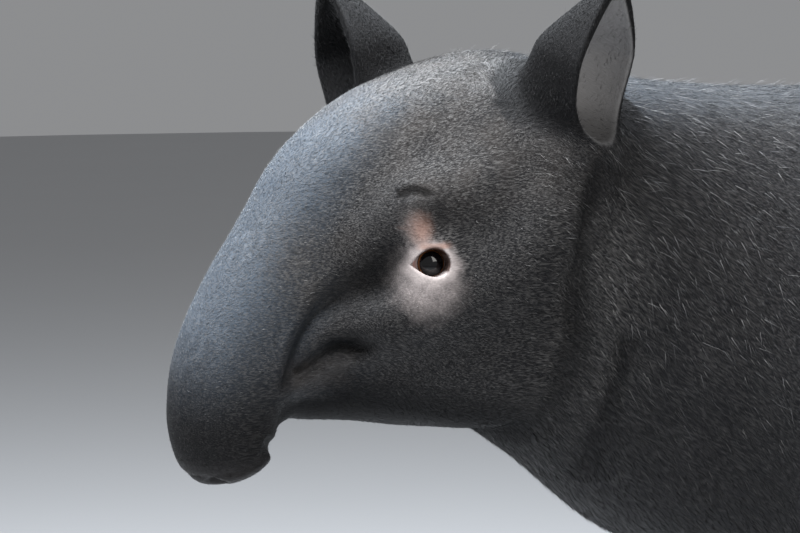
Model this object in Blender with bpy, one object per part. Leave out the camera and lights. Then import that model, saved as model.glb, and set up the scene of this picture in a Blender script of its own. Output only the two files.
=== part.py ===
"""A standing Malayan tapir at life size, parted into named solids.

The animal faces -X with its left side toward -Y, and stands on z = 0. Its head
is turned to its left. The body is one smooth field of rounded forms: tapered
tubes run along the trunk, neck, head and legs, and ellipsoids fill out the
muscles. One surface is drawn round the field and parted by thin cuts.
"""

import math

import bmesh
import bpy
import numpy as np
from mathutils import Matrix, Vector

GAP = 0.0003

EYE_HEIGHT = 0.84
HEAD_YAW = math.radians(27.0)
HEAD_ORIGIN = (-0.735, -0.124, EYE_HEIGHT)
HEAD_FRONT = np.array([-math.cos(HEAD_YAW), -math.sin(HEAD_YAW), 0.0])
HEAD_LEFT = np.array([math.sin(HEAD_YAW), -math.cos(HEAD_YAW), 0.0])
HEAD_UP = np.array([0.0, 0.0, 1.0])
BODY_LEFT = np.array([0.0, -1.0, 0.0])

# Stations of the body: a centre, then the half width, the reach up and the reach down.
BARREL = [
    (0.72, 0, 0.785, 0.165, 0.220, 0.230),
    (0.58, 0, 0.765, 0.208, 0.268, 0.275),
    (0.42, 0, 0.75, 0.235, 0.268, 0.300),
    (0.25, 0, 0.73, 0.248, 0.262, 0.310),
    (0.05, 0, 0.715, 0.243, 0.250, 0.292),
    (-0.12, 0, 0.712, 0.222, 0.238, 0.262),
    (-0.28, 0, 0.715, 0.185, 0.222, 0.230),
    (-0.40, 0, 0.72, 0.140, 0.20, 0.175),
]
TAIL = [
    (0.892, 0, 0.785, 0.010, 0.011, 0.011),
    (0.893, 0, 0.815, 0.015, 0.016, 0.016),
    (0.880, 0, 0.857, 0.020, 0.021, 0.021),
    (0.845, 0, 0.890, 0.025, 0.025, 0.025),
    (0.780, 0, 0.905, 0.032, 0.032, 0.032),
]
NECK = [
    (-0.12, 0, 0.735, 0.172, 0.196, 0.235),
    (-0.28, -0.004, 0.750, 0.168, 0.202, 0.222),
    (-0.42, -0.018, 0.775, 0.152, 0.194, 0.204),
    (-0.53, -0.045, 0.805, 0.134, 0.180, 0.172),
    (-0.61, -0.072, 0.830, 0.120, 0.164, 0.135),
]

# Stations of the head, each centre as front, left and up from the head's origin.
SKULL = [
    (-0.19, 0, 0.040, 0.095, 0.095, 0.125),
    (-0.13, 0, 0.042, 0.098, 0.112, 0.125),
    (-0.06, 0, 0.030, 0.091, 0.118, 0.110),
    (0.00, 0, 0.008, 0.077, 0.112, 0.085),
    (0.05, 0, -0.020, 0.060, 0.098, 0.068),
    (0.10, 0, -0.050, 0.050, 0.074, 0.055),
    (0.134, 0, -0.085, 0.047, 0.060, 0.046),
    (0.148, 0, -0.118, 0.045, 0.051, 0.047),
    (0.149, 0, -0.145, 0.042, 0.045, 0.045),
    (0.145, 0, -0.162, 0.037, 0.037, 0.041),
]
JAW = [
    (-0.130, 0, -0.080, 0.094, 0.06, 0.077),
    (-0.06, 0, -0.090, 0.084, 0.05, 0.070),
    (0.015, 0, -0.098, 0.058, 0.035, 0.049),
    (0.070, 0, -0.107, 0.040, 0.026, 0.032),
    (0.094, 0, -0.111, 0.031, 0.018, 0.023),
]
CHEEKBONE = np.array([
    (-0.15, 0.105, 0.055, 0.020, 0.020, 0.020),
    (-0.09, 0.106, 0.005, 0.020, 0.020, 0.020),
    (-0.03, 0.094, -0.030, 0.020, 0.020, 0.020),
    (0.035, 0.070, -0.050, 0.018, 0.018, 0.018),
])
BROW = np.array([
    (-0.05, 0.082, 0.055, 0.018, 0.018, 0.018),
    (0.0, 0.075, 0.045, 0.018, 0.018, 0.018),
    (0.04, 0.060, 0.020, 0.016, 0.016, 0.016),
])
UPPER_LIP = np.array([
    (0.02, 0.052, -0.055, 0.020, 0.028, 0.026),
    (0.07, 0.042, -0.066, 0.018, 0.026, 0.022),
    (0.115, 0.030, -0.088, 0.016, 0.022, 0.018),
])

# Furrows on the left side of the head and neck.
MOUTH_LINE = [
    (0.127, 0.030, -0.104), (0.124, 0.046, -0.089), (0.111, 0.053, -0.076),
    (0.092, 0.057, -0.069), (0.068, 0.066, -0.067), (0.054, 0.071, -0.070),
]
LIP_FOLD = [
    (0.072, 0.061, -0.040), (0.084, 0.057, -0.042), (0.096, 0.055, -0.048),
    (0.108, 0.053, -0.058), (0.121, 0.051, -0.077), (0.127, 0.046, -0.100),
]
BROW_FOLD = [(0.028, 0.085, 0.048), (0.020, 0.087, 0.055), (0.006, 0.093, 0.057), (-0.002, 0.098, 0.051)]
CHEEK_REAR = [
    (-0.104, 0.134, -0.030), (-0.101, 0.130, -0.064), (-0.104, 0.124, -0.091),
    (-0.112, 0.117, -0.115), (-0.126, 0.108, -0.140),
]
NAPE_FOLD = [(-0.137, 0.134, 0.090), (-0.130, 0.135, 0.065), (-0.123, 0.138, 0.037), (-0.119, 0.139, 0.008)]
NECK_FOLD = [
    (-0.150, 0.145, -0.030), (-0.160, 0.147, -0.055), (-0.167, 0.144, -0.085),
    (-0.170, 0.138, -0.120), (-0.178, 0.124, -0.160),
]
THROAT_FOLD = [
    (-0.210, 0.152, -0.083), (-0.206, 0.146, -0.115), (-0.205, 0.132, -0.151), (-0.215, 0.108, -0.195),
]
# Each furrow's path, radius and height.
FOLDS = [
    (MOUTH_LINE, 0.008, -0.009), (LIP_FOLD, 0.015, -0.008), (BROW_FOLD, 0.010, -0.0030),
    (CHEEK_REAR, 0.034, -0.010), (NAPE_FOLD, 0.028, -0.012), (NECK_FOLD, 0.022, -0.006),
    (THROAT_FOLD, 0.024, -0.005),
]
TIP_FOLD = [
    (0.132, 0.037, -0.147), (0.116, 0.022, -0.153), (0.110, 0.0, -0.155), (0.116, -0.022, -0.153),
    (0.132, -0.037, -0.147),
]
NOSTRIL_PLACE = (0.168, 0.0140, -0.181)
NOSTRIL_RADII = (0.011, 0.0065, 0.010)

EYE_RADIUS = 0.0195
EYE_PLACE = (-0.006, 0.0780, -0.004)
EYE_FACING = (0.40, 0.90, 0.12)
LID_DEPTH = 0.0055
LID_HALF_LENGTH = 0.0190
LID_RISE = 0.0140
LID_DROP = 0.0125

EAR_LENGTH = 0.145
EAR_WIDTH = 0.104
EAR_DEPTH = 0.060
EAR_RIM = 0.006
EAR_WALL = 0.007
EAR_TAPER = (0.55, 1.3)
EAR_ROOT = 0.030
EAR_CUT = 0.013
EAR_TURN = {1: math.radians(107), -1: math.radians(22)}

LEG_STRIDE = {"front_left": -0.02, "front_right": 0.05, "rear_left": 0.05, "rear_right": -0.03}
FRONT_LEG = [
    (-0.205, 0.115, 0.68, 0.072, 0.118, 0.120),
    (-0.21, 0.138, 0.58, 0.076, 0.102, 0.112),
    (-0.20, 0.150, 0.50, 0.069, 0.084, 0.094),
    (-0.20, 0.152, 0.40, 0.056, 0.065, 0.069),
    (-0.21, 0.152, 0.29, 0.050, 0.055, 0.051),
    (-0.212, 0.152, 0.21, 0.042, 0.045, 0.045),
    (-0.218, 0.152, 0.13, 0.044, 0.046, 0.046),
    (-0.228, 0.152, 0.08, 0.051, 0.052, 0.048),
    (-0.236, 0.152, 0.048, 0.052, 0.052, 0.048),
]
REAR_LEG = [
    (0.63, 0.105, 0.80, 0.085, 0.17, 0.145),
    (0.60, 0.125, 0.68, 0.088, 0.165, 0.14),
    (0.57, 0.135, 0.57, 0.084, 0.135, 0.130),
    (0.565, 0.138, 0.47, 0.069, 0.100, 0.100),
    (0.600, 0.138, 0.38, 0.054, 0.068, 0.070),
    (0.635, 0.138, 0.315, 0.047, 0.053, 0.056),
    (0.635, 0.138, 0.24, 0.041, 0.046, 0.045),
    (0.62, 0.138, 0.165, 0.040, 0.044, 0.042),
    (0.605, 0.138, 0.10, 0.045, 0.049, 0.043),
    (0.596, 0.138, 0.05, 0.048, 0.051, 0.045),
]
FRONT_TOES = [(-35, 1.0), (0, 1.12), (35, 1.0), (84, 0.78)]
REAR_TOES = [(-35, 0.98), (0, 1.12), (35, 0.98)]
TOE_REACH = 0.076
HOOF_RADII = (0.030, 0.0215, 0.028)

NECK_CUT_PLACE = (-0.153, 0, 0)
NECK_CUT_WAY = (0.978, 0, 0.2095)
TRUNK_CUT = [(0.070, 0.18), (0.098, 0.05), (0.114, -0.05), (0.117, -0.08), (0.111, -0.104), (0.111, -0.20)]
JAW_CUT = [(0.1113, -0.1030), (0.092, -0.0695), (0.054, -0.0705), (-0.03, -0.083), (-0.25, -0.088)]
CHEST_CUT_X = -0.335
SADDLE_CUT_X = -0.075
TAIL_CUT = (0.860, 0, 0.880)
ANKLE_HEIGHT = 0.125
WRIST_HEIGHT = 0.29
HOCK_HEIGHT = 0.345
HEAD_TRIANGLES = 5000
BODY_TRIANGLES = 4000
FOOT_TRIANGLES = 330
SHOULDER_SOCKET = ((-0.205, 0.235, 0.27), (0.16, 0.185, 0.33))
HIP_SOCKET = ((0.60, 0.235, 0.29), (0.185, 0.20, 0.36))

COATS = {
    "dark": ((0.018, 0.018, 0.021, 1.0), 0.55),
    "pale": ((0.42, 0.41, 0.40, 1.0), 0.70),
    "eye": ((0.010, 0.006, 0.005, 1.0), 0.06),
    "hoof": ((0.030, 0.026, 0.024, 1.0), 0.40),
}

SPLINE = np.array([[0, 2, 0, 0], [-1, 0, 1, 0], [2, -5, 4, -1], [-1, 3, -3, 1]]) / 2.0


def unit(v):
    return v / np.maximum(np.linalg.norm(v, axis=-1, keepdims=True), 1e-9)


def smooth_rows(rows, steps):
    """Rows of numbers joined by a smooth curve, with steps pieces a row."""
    rows = np.asarray(rows, float)
    ext = np.vstack([2 * rows[0] - rows[1], rows, 2 * rows[-1] - rows[-2]])
    out = []
    for i in range(len(rows) - 1):
        for k in range(steps):
            t = k / steps
            weights = np.array([1, t, t * t, t ** 3]) @ SPLINE
            out.append(weights @ ext[i:i + 4])
    out.append(rows[-1])
    return np.array(out)


def smooth_min(a, b, k):
    h = np.maximum(k - np.abs(a - b), 0) / k
    return np.minimum(a, b) - h * h * k * 0.25


def smooth_max(a, b, k):
    return -smooth_min(-a, -b, k)


class Tube:
    """A tapered tube: each station is a centre, then its half width, up and down."""

    def __init__(self, stations, side, steps=4, soften=0.03, power=2.0, caps=(None, None)):
        rows = smooth_rows(stations, steps)
        self.centre = rows[:, :3]
        self.radii = np.maximum(rows[:, 3:6], 1e-3)
        self.along = unit(np.gradient(self.centre, axis=0))
        side = np.broadcast_to(np.asarray(side, float), self.centre.shape)
        lean = (side * self.along).sum(1, keepdims=True)
        self.side = unit(side - lean * self.along)
        self.up = np.cross(self.along, self.side)
        self.power = power
        self.soften = soften
        self.caps = [c or self.radii[i].min() for c, i in zip(caps, (0, -1))]
        reach = self.radii.max() + max(self.caps) * 0.5
        self.lo = self.centre.min(0) - reach
        self.hi = self.centre.max(0) + reach

    def distance(self, p):
        count = len(self.centre) - 1
        best = np.full(len(p), 1e9)
        at = np.zeros(len(p))
        for i in range(count):
            a = self.centre[i]
            d = self.centre[i + 1] - a
            rel = p - a
            t = np.clip(rel @ d / (d @ d), 0, 1)
            q = rel - t[:, None] * d
            d2 = np.einsum("ij,ij->i", q, q)
            closer = d2 < best
            best[closer] = d2[closer]
            at[closer] = i + t[closer]
        i = np.minimum(at.astype(int), count - 1)
        w = (at - i)[:, None]

        def mixed(rows):
            return rows[i] * (1 - w) + rows[i + 1] * w

        rel = p - mixed(self.centre)
        radii = mixed(self.radii)
        across = (rel * mixed(self.side)).sum(1)
        rise = (rel * mixed(self.up)).sum(1)
        ahead = (rel * mixed(self.along)).sum(1)
        start = at <= 1e-6
        ended = start | (at >= count - 1e-6)
        cap = np.where(start, self.caps[0], self.caps[1])
        ahead = np.where(ended, ahead, 0)
        height = np.where(rise > 0, radii[:, 1], radii[:, 2])
        n = self.power
        share = (np.abs(across) / radii[:, 0]) ** n + (np.abs(rise) / height) ** n
        share = (share + (np.abs(ahead) / cap) ** n) ** (1 / n)
        length = np.sqrt(across ** 2 + rise ** 2 + ahead ** 2)
        return length - length / np.maximum(share, 1e-6)


class Blob:
    """An ellipsoid, its axes as rows."""

    def __init__(self, centre, radii, axes=None, soften=0.03):
        self.centre = np.asarray(centre, float)
        self.radii = np.asarray(radii, float)
        self.axes = np.eye(3) if axes is None else np.asarray(axes, float)
        self.soften = soften
        self.lo = self.centre - self.radii.max()
        self.hi = self.centre + self.radii.max()

    def distance(self, p):
        rel = (p - self.centre) @ self.axes.T
        length = np.linalg.norm(rel, axis=1)
        share = np.linalg.norm(rel / self.radii, axis=1)
        return length - length / np.maximum(share, 1e-6)


class Leaf:
    """A pointed ellipsoid, level with its rim on the side that it faces, if it has one."""

    def __init__(self, centre, long, face, radii, taper, rim=None, soften=0.02):
        self.centre = np.asarray(centre, float)
        self.axes = np.array([long, np.cross(long, face), face])
        self.radii = np.asarray(radii, float)
        self.taper = taper
        self.rim = rim
        self.soften = soften
        self.lo = self.centre - self.radii.max()
        self.hi = self.centre + self.radii.max()

    def distance(self, p):
        rel = (p - self.centre) @ self.axes.T
        tip = np.clip(rel[:, 0] / self.radii[0], 0, 1)[:, None] ** 1.6
        rel[:, 1:] *= 1 + np.array(self.taper) * tip
        length = np.linalg.norm(rel, axis=1)
        share = np.linalg.norm(rel / self.radii, axis=1)
        shell = length - length / np.maximum(share, 1e-6)
        if self.rim is None:
            return shell
        return smooth_max(shell, rel[:, 2] - self.rim, 0.004)


class EyeOpening:
    """The almond between the lids, and the hollow behind it that holds the eye."""

    def __init__(self, centre, facing):
        self.centre = centre
        self.facing = facing
        self.rise = unit(HEAD_UP - facing[2] * facing)
        self.across = np.cross(self.rise, facing)
        self.hollow = EYE_RADIUS - 0.002
        self.soften = 0.003
        self.lo = self.centre - self.hollow * 2.5
        self.hi = self.centre + self.hollow * 2.5

    def distance(self, p):
        rel = p - self.centre
        h = rel @ self.across
        v = rel @ self.rise
        depth = rel @ self.facing
        bow = 1 - (h / LID_HALF_LENGTH) ** 2
        gap = np.maximum(v - LID_RISE * bow, -LID_DROP * bow - v) * 0.75
        slot = np.maximum(gap, 0.4 * self.hollow - depth)
        ball = np.linalg.norm(rel, axis=1) - self.hollow
        return np.minimum(slot, ball)


class Stroke:
    """A ridge raised along a path on the surface, or a furrow where height is below 0."""

    def __init__(self, path, radius, height, steps=4):
        self.path = smooth_rows(path, steps)
        self.radius = radius
        self.height = height
        self.lo = self.path.min(0) - radius
        self.hi = self.path.max(0) + radius

    def change(self, p):
        near = np.full(len(p), 1e9)
        for a, b in zip(self.path[:-1], self.path[1:]):
            d = b - a
            rel = p - a
            t = np.clip(rel @ d / (d @ d), 0, 1)
            q = rel - t[:, None] * d
            near = np.minimum(near, np.einsum("ij,ij->i", q, q))
        share = np.clip(1 - near / self.radius ** 2, 0, 1)
        return -self.height * share ** 2


def box_gap(form, p):
    return np.maximum(np.maximum(form.lo - p, p - form.hi), 0).max(1)


class Field:
    """Forms joined softly, then the hollows cut from them."""

    def __init__(self):
        self.forms = []
        self.cuts = []
        self.strokes = []

    def __call__(self, p):
        out = np.full(len(p), 0.3)
        for form in self.forms:
            near = box_gap(form, p) < 0.03
            if near.any():
                out[near] = smooth_min(out[near], form.distance(p[near]), form.soften)
        for stroke in self.strokes:
            near = (box_gap(stroke, p) <= 0) & (np.abs(out) < 0.05)
            if near.any():
                out[near] += stroke.change(p[near])
        for cut in self.cuts:
            near = box_gap(cut, p) <= 0
            if near.any():
                out[near] = smooth_max(out[near], -cut.distance(p[near]), cut.soften)
        return out

    def gradient(self, p, e=5e-4):
        corners = np.array([[1, -1, -1], [-1, -1, 1], [-1, 1, -1], [1, 1, 1]], float)
        return sum(d * self(p + e * d)[:, None] for d in corners) / (4 * e)

    def settled(self, p, rounds=2, most=0.004):
        """Points moved onto the surface."""
        for _ in range(rounds):
            slope = self.gradient(p)
            step = self(p)[:, None] * slope
            step /= np.maximum((slope * slope).sum(1, keepdims=True), 0.05)
            size = np.linalg.norm(step, axis=1, keepdims=True)
            p = p - step * np.minimum(1, most / np.maximum(size, 1e-9))
        return p


def sampled(field, lo, hi, step, coarse=8):
    """Field values on a grid, exact only near the surface."""
    count = np.ceil((hi - lo) / (step * coarse)).astype(int)
    spread = coarse
    axes = [lo[i] + np.arange(count[i] + 1) * step * spread for i in range(3)]
    grid = np.stack(np.meshgrid(*axes, indexing="ij"), -1)
    values = field(grid.reshape(-1, 3)).reshape(grid.shape[:3])
    while spread > 1:
        spread //= 2
        for axis in range(3):
            n = values.shape[axis]
            finer = np.repeat(values, 2, axis)
            finer = np.delete(finer, -1, axis)
            a = [slice(None)] * 3
            b = [slice(None)] * 3
            mid = [slice(None)] * 3
            a[axis], b[axis] = slice(0, n - 1), slice(1, n)
            mid[axis] = slice(1, 2 * n - 2, 2)
            finer[tuple(mid)] = (values[tuple(a)] + values[tuple(b)]) / 2
            values = finer
        near = np.argwhere(np.abs(values) < step * spread * 3.0)
        points = lo + near * step * spread
        exact = np.concatenate([field(points[i:i + 200000])
                                for i in range(0, len(points), 200000)])
        values[tuple(near.T)] = exact
    return values


def surface_of(values, lo, step):
    """Points and four sided faces of the surface where the values change sign."""
    inside = values < 0
    cells = np.array(values.shape) - 1
    faces, crossings, owners = [], [], []
    for axis in range(3):
        first = [slice(None)] * 3
        second = [slice(None)] * 3
        first[axis], second[axis] = slice(0, -1), slice(1, None)
        at = np.argwhere(inside[tuple(first)] != inside[tuple(second)])
        a, b = (axis + 1) % 3, (axis + 2) % 3
        whole = (at[:, a] > 0) & (at[:, b] > 0) & (at[:, a] < cells[a]) & (at[:, b] < cells[b])
        at = at[whole]
        after = at.copy()
        after[:, axis] += 1
        v0 = values[tuple(at.T)]
        v1 = values[tuple(after.T)]
        point = at.astype(float)
        point[:, axis] += v0 / (v0 - v1)
        ring = []
        for da, db in ((0, 0), (1, 0), (1, 1), (0, 1)):
            cell = at.copy()
            cell[:, a] -= da
            cell[:, b] -= db
            ring.append(np.ravel_multi_index(cell.T, cells))
        ring = np.stack(ring, 1)
        owners.append(ring.reshape(-1))
        crossings.append(np.repeat(point, 4, 0))
        turned = v0 > 0
        ring[turned] = ring[turned][:, ::-1]
        faces.append(ring)
    owners = np.concatenate(owners)
    crossings = np.concatenate(crossings)
    used, index, share = np.unique(owners, return_inverse=True, return_counts=True)
    points = np.stack([np.bincount(index, crossings[:, k]) for k in range(3)], 1)
    points = lo + points / share[:, None] * step
    return points, np.searchsorted(used, np.concatenate(faces))


def head_point(front, left, up):
    return np.array(HEAD_ORIGIN) + front * HEAD_FRONT + left * HEAD_LEFT + up * HEAD_UP


def head_way(front, left, up):
    return unit(front * HEAD_FRONT + left * HEAD_LEFT + up * HEAD_UP)


def head_tube(rows, **options):
    rows = np.asarray(rows, float)
    placed = np.array([head_point(*row[:3]) for row in rows])
    return Tube(np.hstack([placed, rows[:, 3:]]), HEAD_LEFT, **options)


def head_blob(centre, radii, tilt=0.0, soften=0.03):
    """An ellipsoid in the head, its front axis tilted up."""
    front = head_way(math.cos(tilt), 0, math.sin(tilt))
    return Blob(head_point(*centre), radii, [front, HEAD_LEFT, np.cross(front, HEAD_LEFT)], soften)


def torso_forms():
    forms = [Tube(BARREL, BODY_LEFT, soften=0.06, power=2.1, caps=(0.115, None))]
    for side in (1, -1):
        forms.append(Blob((0.62, side * 0.095, 0.82), (0.195, 0.115, 0.17), soften=0.07))
        forms.append(Blob((-0.20, side * 0.115, 0.72), (0.135, 0.095, 0.20), soften=0.07))
    return forms


def tail_forms():
    return [Tube(TAIL, BODY_LEFT, soften=0.014)]


def neck_forms():
    return [Tube(NECK, unit(BODY_LEFT + HEAD_LEFT), soften=0.06)]


def head_forms():
    forms = [
        head_tube(SKULL, soften=0.055, caps=(0.06, 0.018)),
        head_tube(JAW, soften=0.028),
    ]
    for side in (1, -1):
        flip = np.array([1, side, 1, 1, 1, 1])
        forms += [
            head_blob((-0.095, side * 0.062, -0.045), (0.095, 0.052, 0.100), soften=0.05),
            head_tube(CHEEKBONE * flip, soften=0.04),
            head_tube(BROW * flip, soften=0.04),
            head_tube(UPPER_LIP * flip, soften=0.025),
            Blob(eye_centre(side), (EYE_RADIUS + LID_DEPTH,) * 3, soften=0.03),
        ]
    return forms


def head_strokes():
    """The furrows of the face and neck, on both sides."""
    strokes = [Stroke([head_point(*place) for place in TIP_FOLD], 0.010, -0.0045)]
    for side in (1, -1):
        for path, radius, height in FOLDS:
            placed = [head_point(f, side * l, u) for f, l, u in path]
            strokes.append(Stroke(placed, radius, height))
    return strokes


def ear_place(side):
    """The middle of an ear's opening, the way up it and the way that it faces."""
    middle = head_point(-0.121 - 0.039 * side, side * 0.132 + 0.006, 0.1545 + 0.0035 * side)
    way = head_way(0.0005 - 0.0065 * side, side * 0.023, 0.100)
    turn = EAR_TURN[side]
    opening = head_way(math.cos(turn), side * math.sin(turn), 0)
    return middle, way, unit(opening - (opening @ way) * way)


def ear_forms():
    """The solid root and cup of each ear, and the hollow in each."""
    forms, hollows = [], []
    for side in (1, -1):
        middle, way, opening = ear_place(side)
        base = middle - way * 0.055 - opening * EAR_ROOT
        forms.append(Tube(np.array([
            [*(base - way * 0.02), 0.048, 0.042, 0.042],
            [*(base + way * 0.026), 0.036, 0.034, 0.034],
        ]), HEAD_LEFT, soften=0.03))
        radii = np.array([EAR_LENGTH / 2, EAR_WIDTH / 2, EAR_DEPTH])
        forms.append(Leaf(middle - opening * EAR_RIM, way, opening, radii, EAR_TAPER, rim=EAR_RIM))
        inner = radii - EAR_WALL
        hollows.append(Leaf(middle + opening * EAR_RIM, way, opening, inner, EAR_TAPER, soften=0.004))
    return forms, hollows


def leg_rows(name):
    """The stations of one leg, from its top down, with its own stride."""
    side = -1 if name.endswith("left") else 1
    rows = REAR_LEG if name.startswith("rear") else FRONT_LEG
    stride = LEG_STRIDE[name]
    return [(x + stride * (1 - z / 0.8), side * y, z, half, front, back)
            for x, y, z, half, front, back in rows]


def leg_toes(name):
    """For each toe of a leg, its root, its way along the floor, its size and its lift."""
    side = -1 if name.endswith("left") else 1
    foot = leg_rows(name)[-1]
    root = np.array([foot[0] + 0.006, foot[1], 0])
    toes = []
    for turn, size in (REAR_TOES if name.startswith("rear") else FRONT_TOES):
        angle = math.radians(turn) * side
        way = np.array([-math.cos(angle), math.sin(angle), 0])
        lift = 0.010 if turn > 60 else 0.0
        toes.append((root, way, size, lift))
    return toes


def leg_forms():
    forms = []
    for name in LEG_STRIDE:
        rows = leg_rows(name)
        forms.append(Tube(rows, BODY_LEFT, soften=0.05, caps=(0.05, 0.03)))
        foot = rows[-1]
        forms.append(Blob((foot[0] + 0.004, foot[1], 0.022), (0.050, 0.046, 0.034), soften=0.02))
        for root, way, size, lift in leg_toes(name):
            side = np.cross((0, 0, 1), way)
            reach = TOE_REACH * (0.55 + 0.45 * size)
            stations = []
            for ahead, height, half, up, down in (
                (0.012, 0.050, 0.027, 0.027, 0.027),
                (reach * 0.62, 0.041, 0.0255, 0.023, 0.028),
                (reach * 0.98, 0.027, 0.0215, 0.018, 0.021),
            ):
                place = root + way * ahead + (0, 0, height + lift)
                stations.append((*place, half * size, up * size, down * size))
            forms.append(Tube(stations, side, soften=0.012, caps=(0.02, 0.008)))
    return forms


def eye_centre(side):
    front, left, up = EYE_PLACE
    return head_point(front, side * left, up)


def tapir_field():
    ears, hollows = ear_forms()
    field = Field()
    field.forms = torso_forms() + tail_forms() + neck_forms() + head_forms() + leg_forms() + ears
    field.strokes = head_strokes()
    field.cuts = hollows
    for side in (1, -1):
        front, left, up = EYE_FACING
        facing = head_way(front, side * left, up)
        field.cuts.append(EyeOpening(eye_centre(side), facing))
        front, left, up = NOSTRIL_PLACE
        field.cuts.append(head_blob((front, side * left, up), NOSTRIL_RADII, -0.7, soften=0.006))
    return field


def mesh_object(name, points, faces):
    mesh = bpy.data.meshes.new(name)
    mesh.from_pydata([tuple(p) for p in points], [], [tuple(f) for f in faces])
    mesh.validate()
    obj = bpy.data.objects.new(name, mesh)
    bpy.context.scene.collection.objects.link(obj)
    return obj


def applied(obj):
    """The object with its modifiers made part of its mesh."""
    bpy.context.view_layer.update()
    graph = bpy.context.evaluated_depsgraph_get()
    mesh = bpy.data.meshes.new_from_object(obj.evaluated_get(graph))
    obj.modifiers.clear()
    obj.data = mesh
    return obj


def removed(*objects):
    for obj in objects:
        bpy.data.objects.remove(obj, do_unlink=True)


def boolean(obj, other, operation="DIFFERENCE"):
    modifier = obj.modifiers.new("boolean", "BOOLEAN")
    modifier.operation = operation
    modifier.object = other
    modifier.solver = "EXACT"
    applied(obj)
    mesh = bmesh.new()
    mesh.from_mesh(obj.data)
    bmesh.ops.dissolve_degenerate(mesh, edges=mesh.edges, dist=2e-5)
    bmesh.ops.triangulate(mesh, faces=mesh.faces)
    mesh.to_mesh(obj.data)
    mesh.free()
    return obj


def region(name, field, lo, hi, step, triangles):
    """The surface inside a box, closed by the box's walls, thinned to about so many triangles."""
    lo, hi = np.array(lo, float), np.array(hi, float)
    values = sampled(field, lo, hi, step)
    for axis in range(3):
        for end in (0, -1):
            wall = [slice(None)] * 3
            wall[axis] = end
            values[tuple(wall)] = np.maximum(values[tuple(wall)], step * 0.5)
    points, faces = surface_of(values, lo, step)
    obj = mesh_object(name, points, faces)
    modifier = obj.modifiers.new("thin", "DECIMATE")
    modifier.ratio = triangles / (2 * len(faces))
    return applied(obj)


def sheet(path, across, reach):
    """A thin sheet: a path of points swept to both sides by reach."""
    path = np.asarray(path, float)
    across = unit(np.asarray(across, float))
    step = unit(np.gradient(path, axis=0))
    normal = unit(np.cross(step, across)) * GAP / 2
    points, faces = [], []
    for p, n in zip(path, normal):
        wide = across * reach
        points += [p + n - wide, p + n + wide, p - n + wide, p - n - wide]
    for i in range(len(path) - 1):
        a, b = 4 * i, 4 * i + 4
        for k in range(4):
            m = (k + 1) % 4
            faces.append((a + k, a + m, b + m, b + k))
    last = 4 * (len(path) - 1)
    faces += [(3, 2, 1, 0), (last, last + 1, last + 2, last + 3)]
    obj = mesh_object("sheet", points, faces)
    outward(obj)
    return obj


def outward(obj):
    mesh = bmesh.new()
    mesh.from_mesh(obj.data)
    bmesh.ops.recalc_face_normals(mesh, faces=mesh.faces)
    if mesh.calc_volume(signed=True) < 0:
        bmesh.ops.reverse_faces(mesh, faces=mesh.faces)
    mesh.to_mesh(obj.data)
    mesh.free()


def plate(centre, normal, reach):
    """A square thin sheet centred on a point."""
    normal = unit(np.asarray(normal, float))
    first = unit(np.cross(normal, (0.3, 0.9, 0.1)))
    second = np.cross(normal, first)
    centre = np.asarray(centre, float)
    return sheet([centre - first * reach, centre + first * reach], second, reach)


def block(centre, normal, depth, reach):
    """A box whose face stands on a plane and which runs along the plane's normal."""
    normal = unit(np.asarray(normal, float))
    first = unit(np.cross(normal, (0.3, 0.9, 0.1)))
    second = np.cross(normal, first)
    corners = []
    for out in (0, depth):
        for a, b in ((-1, -1), (1, -1), (1, 1), (-1, 1)):
            corners.append(np.asarray(centre) + normal * out + first * a * reach + second * b * reach)
    walls = [(k, (k + 1) % 4, (k + 1) % 4 + 4, k + 4) for k in range(4)]
    obj = mesh_object("block", corners, [(3, 2, 1, 0), (4, 5, 6, 7), *walls])
    outward(obj)
    return obj


def close_pinches(mesh):
    """Draws an edge that two sheets share to one point, so that no edge has four faces."""
    for _ in range(6):
        shared = [e for e in mesh.edges if len(e.link_faces) > 2]
        if not shared:
            break
        edge = shared[0]
        halfway = (edge.verts[0].co + edge.verts[1].co) / 2
        bmesh.ops.pointmerge(mesh, verts=list(edge.verts), merge_co=halfway)


def parts_of(obj):
    """The closed pieces of a cut mesh, largest first, each as an object."""
    mesh = bmesh.new()
    mesh.from_mesh(obj.data)
    bmesh.ops.triangulate(mesh, faces=mesh.faces)
    bmesh.ops.dissolve_degenerate(mesh, edges=mesh.edges, dist=5e-5)
    bmesh.ops.triangulate(mesh, faces=mesh.faces)
    close_pinches(mesh)
    left = set(mesh.verts)
    groups = []
    while left:
        group, edge = set(), [left.pop()]
        while edge:
            vert = edge.pop()
            group.add(vert)
            for link in vert.link_edges:
                other = link.other_vert(vert)
                if other in left:
                    left.discard(other)
                    edge.append(other)
        groups.append(group)
    pieces = []
    for group in groups:
        index = {v: i for i, v in enumerate(group)}
        faces = {f for v in group for f in v.link_faces}
        points = [tuple(v.co) for v in group]
        rings = [tuple(index[v] for v in f.verts) for f in faces]
        if len(rings) > 3:
            pieces.append((points, rings))
    mesh.free()
    removed(obj)
    made = [mesh_object("piece", *piece) for piece in pieces]
    made.sort(key=volume, reverse=True)
    return made


def volume(obj):
    mesh = bmesh.new()
    mesh.from_mesh(obj.data)
    size = mesh.calc_volume(signed=True)
    mesh.free()
    return size


def middle(obj):
    return np.array([v.co for v in obj.data.vertices]).mean(0)


def named(pieces, seeds):
    """Each piece takes the name of the seed nearest its middle; a loose scrap is dropped."""
    kept = {}
    for name, seed in seeds.items():
        piece = min(pieces, key=lambda o: np.linalg.norm(middle(o) - seed))
        pieces.remove(piece)
        piece.name = name
        piece.data.name = name
        kept[name] = piece
    removed(*pieces)
    return kept


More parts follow.
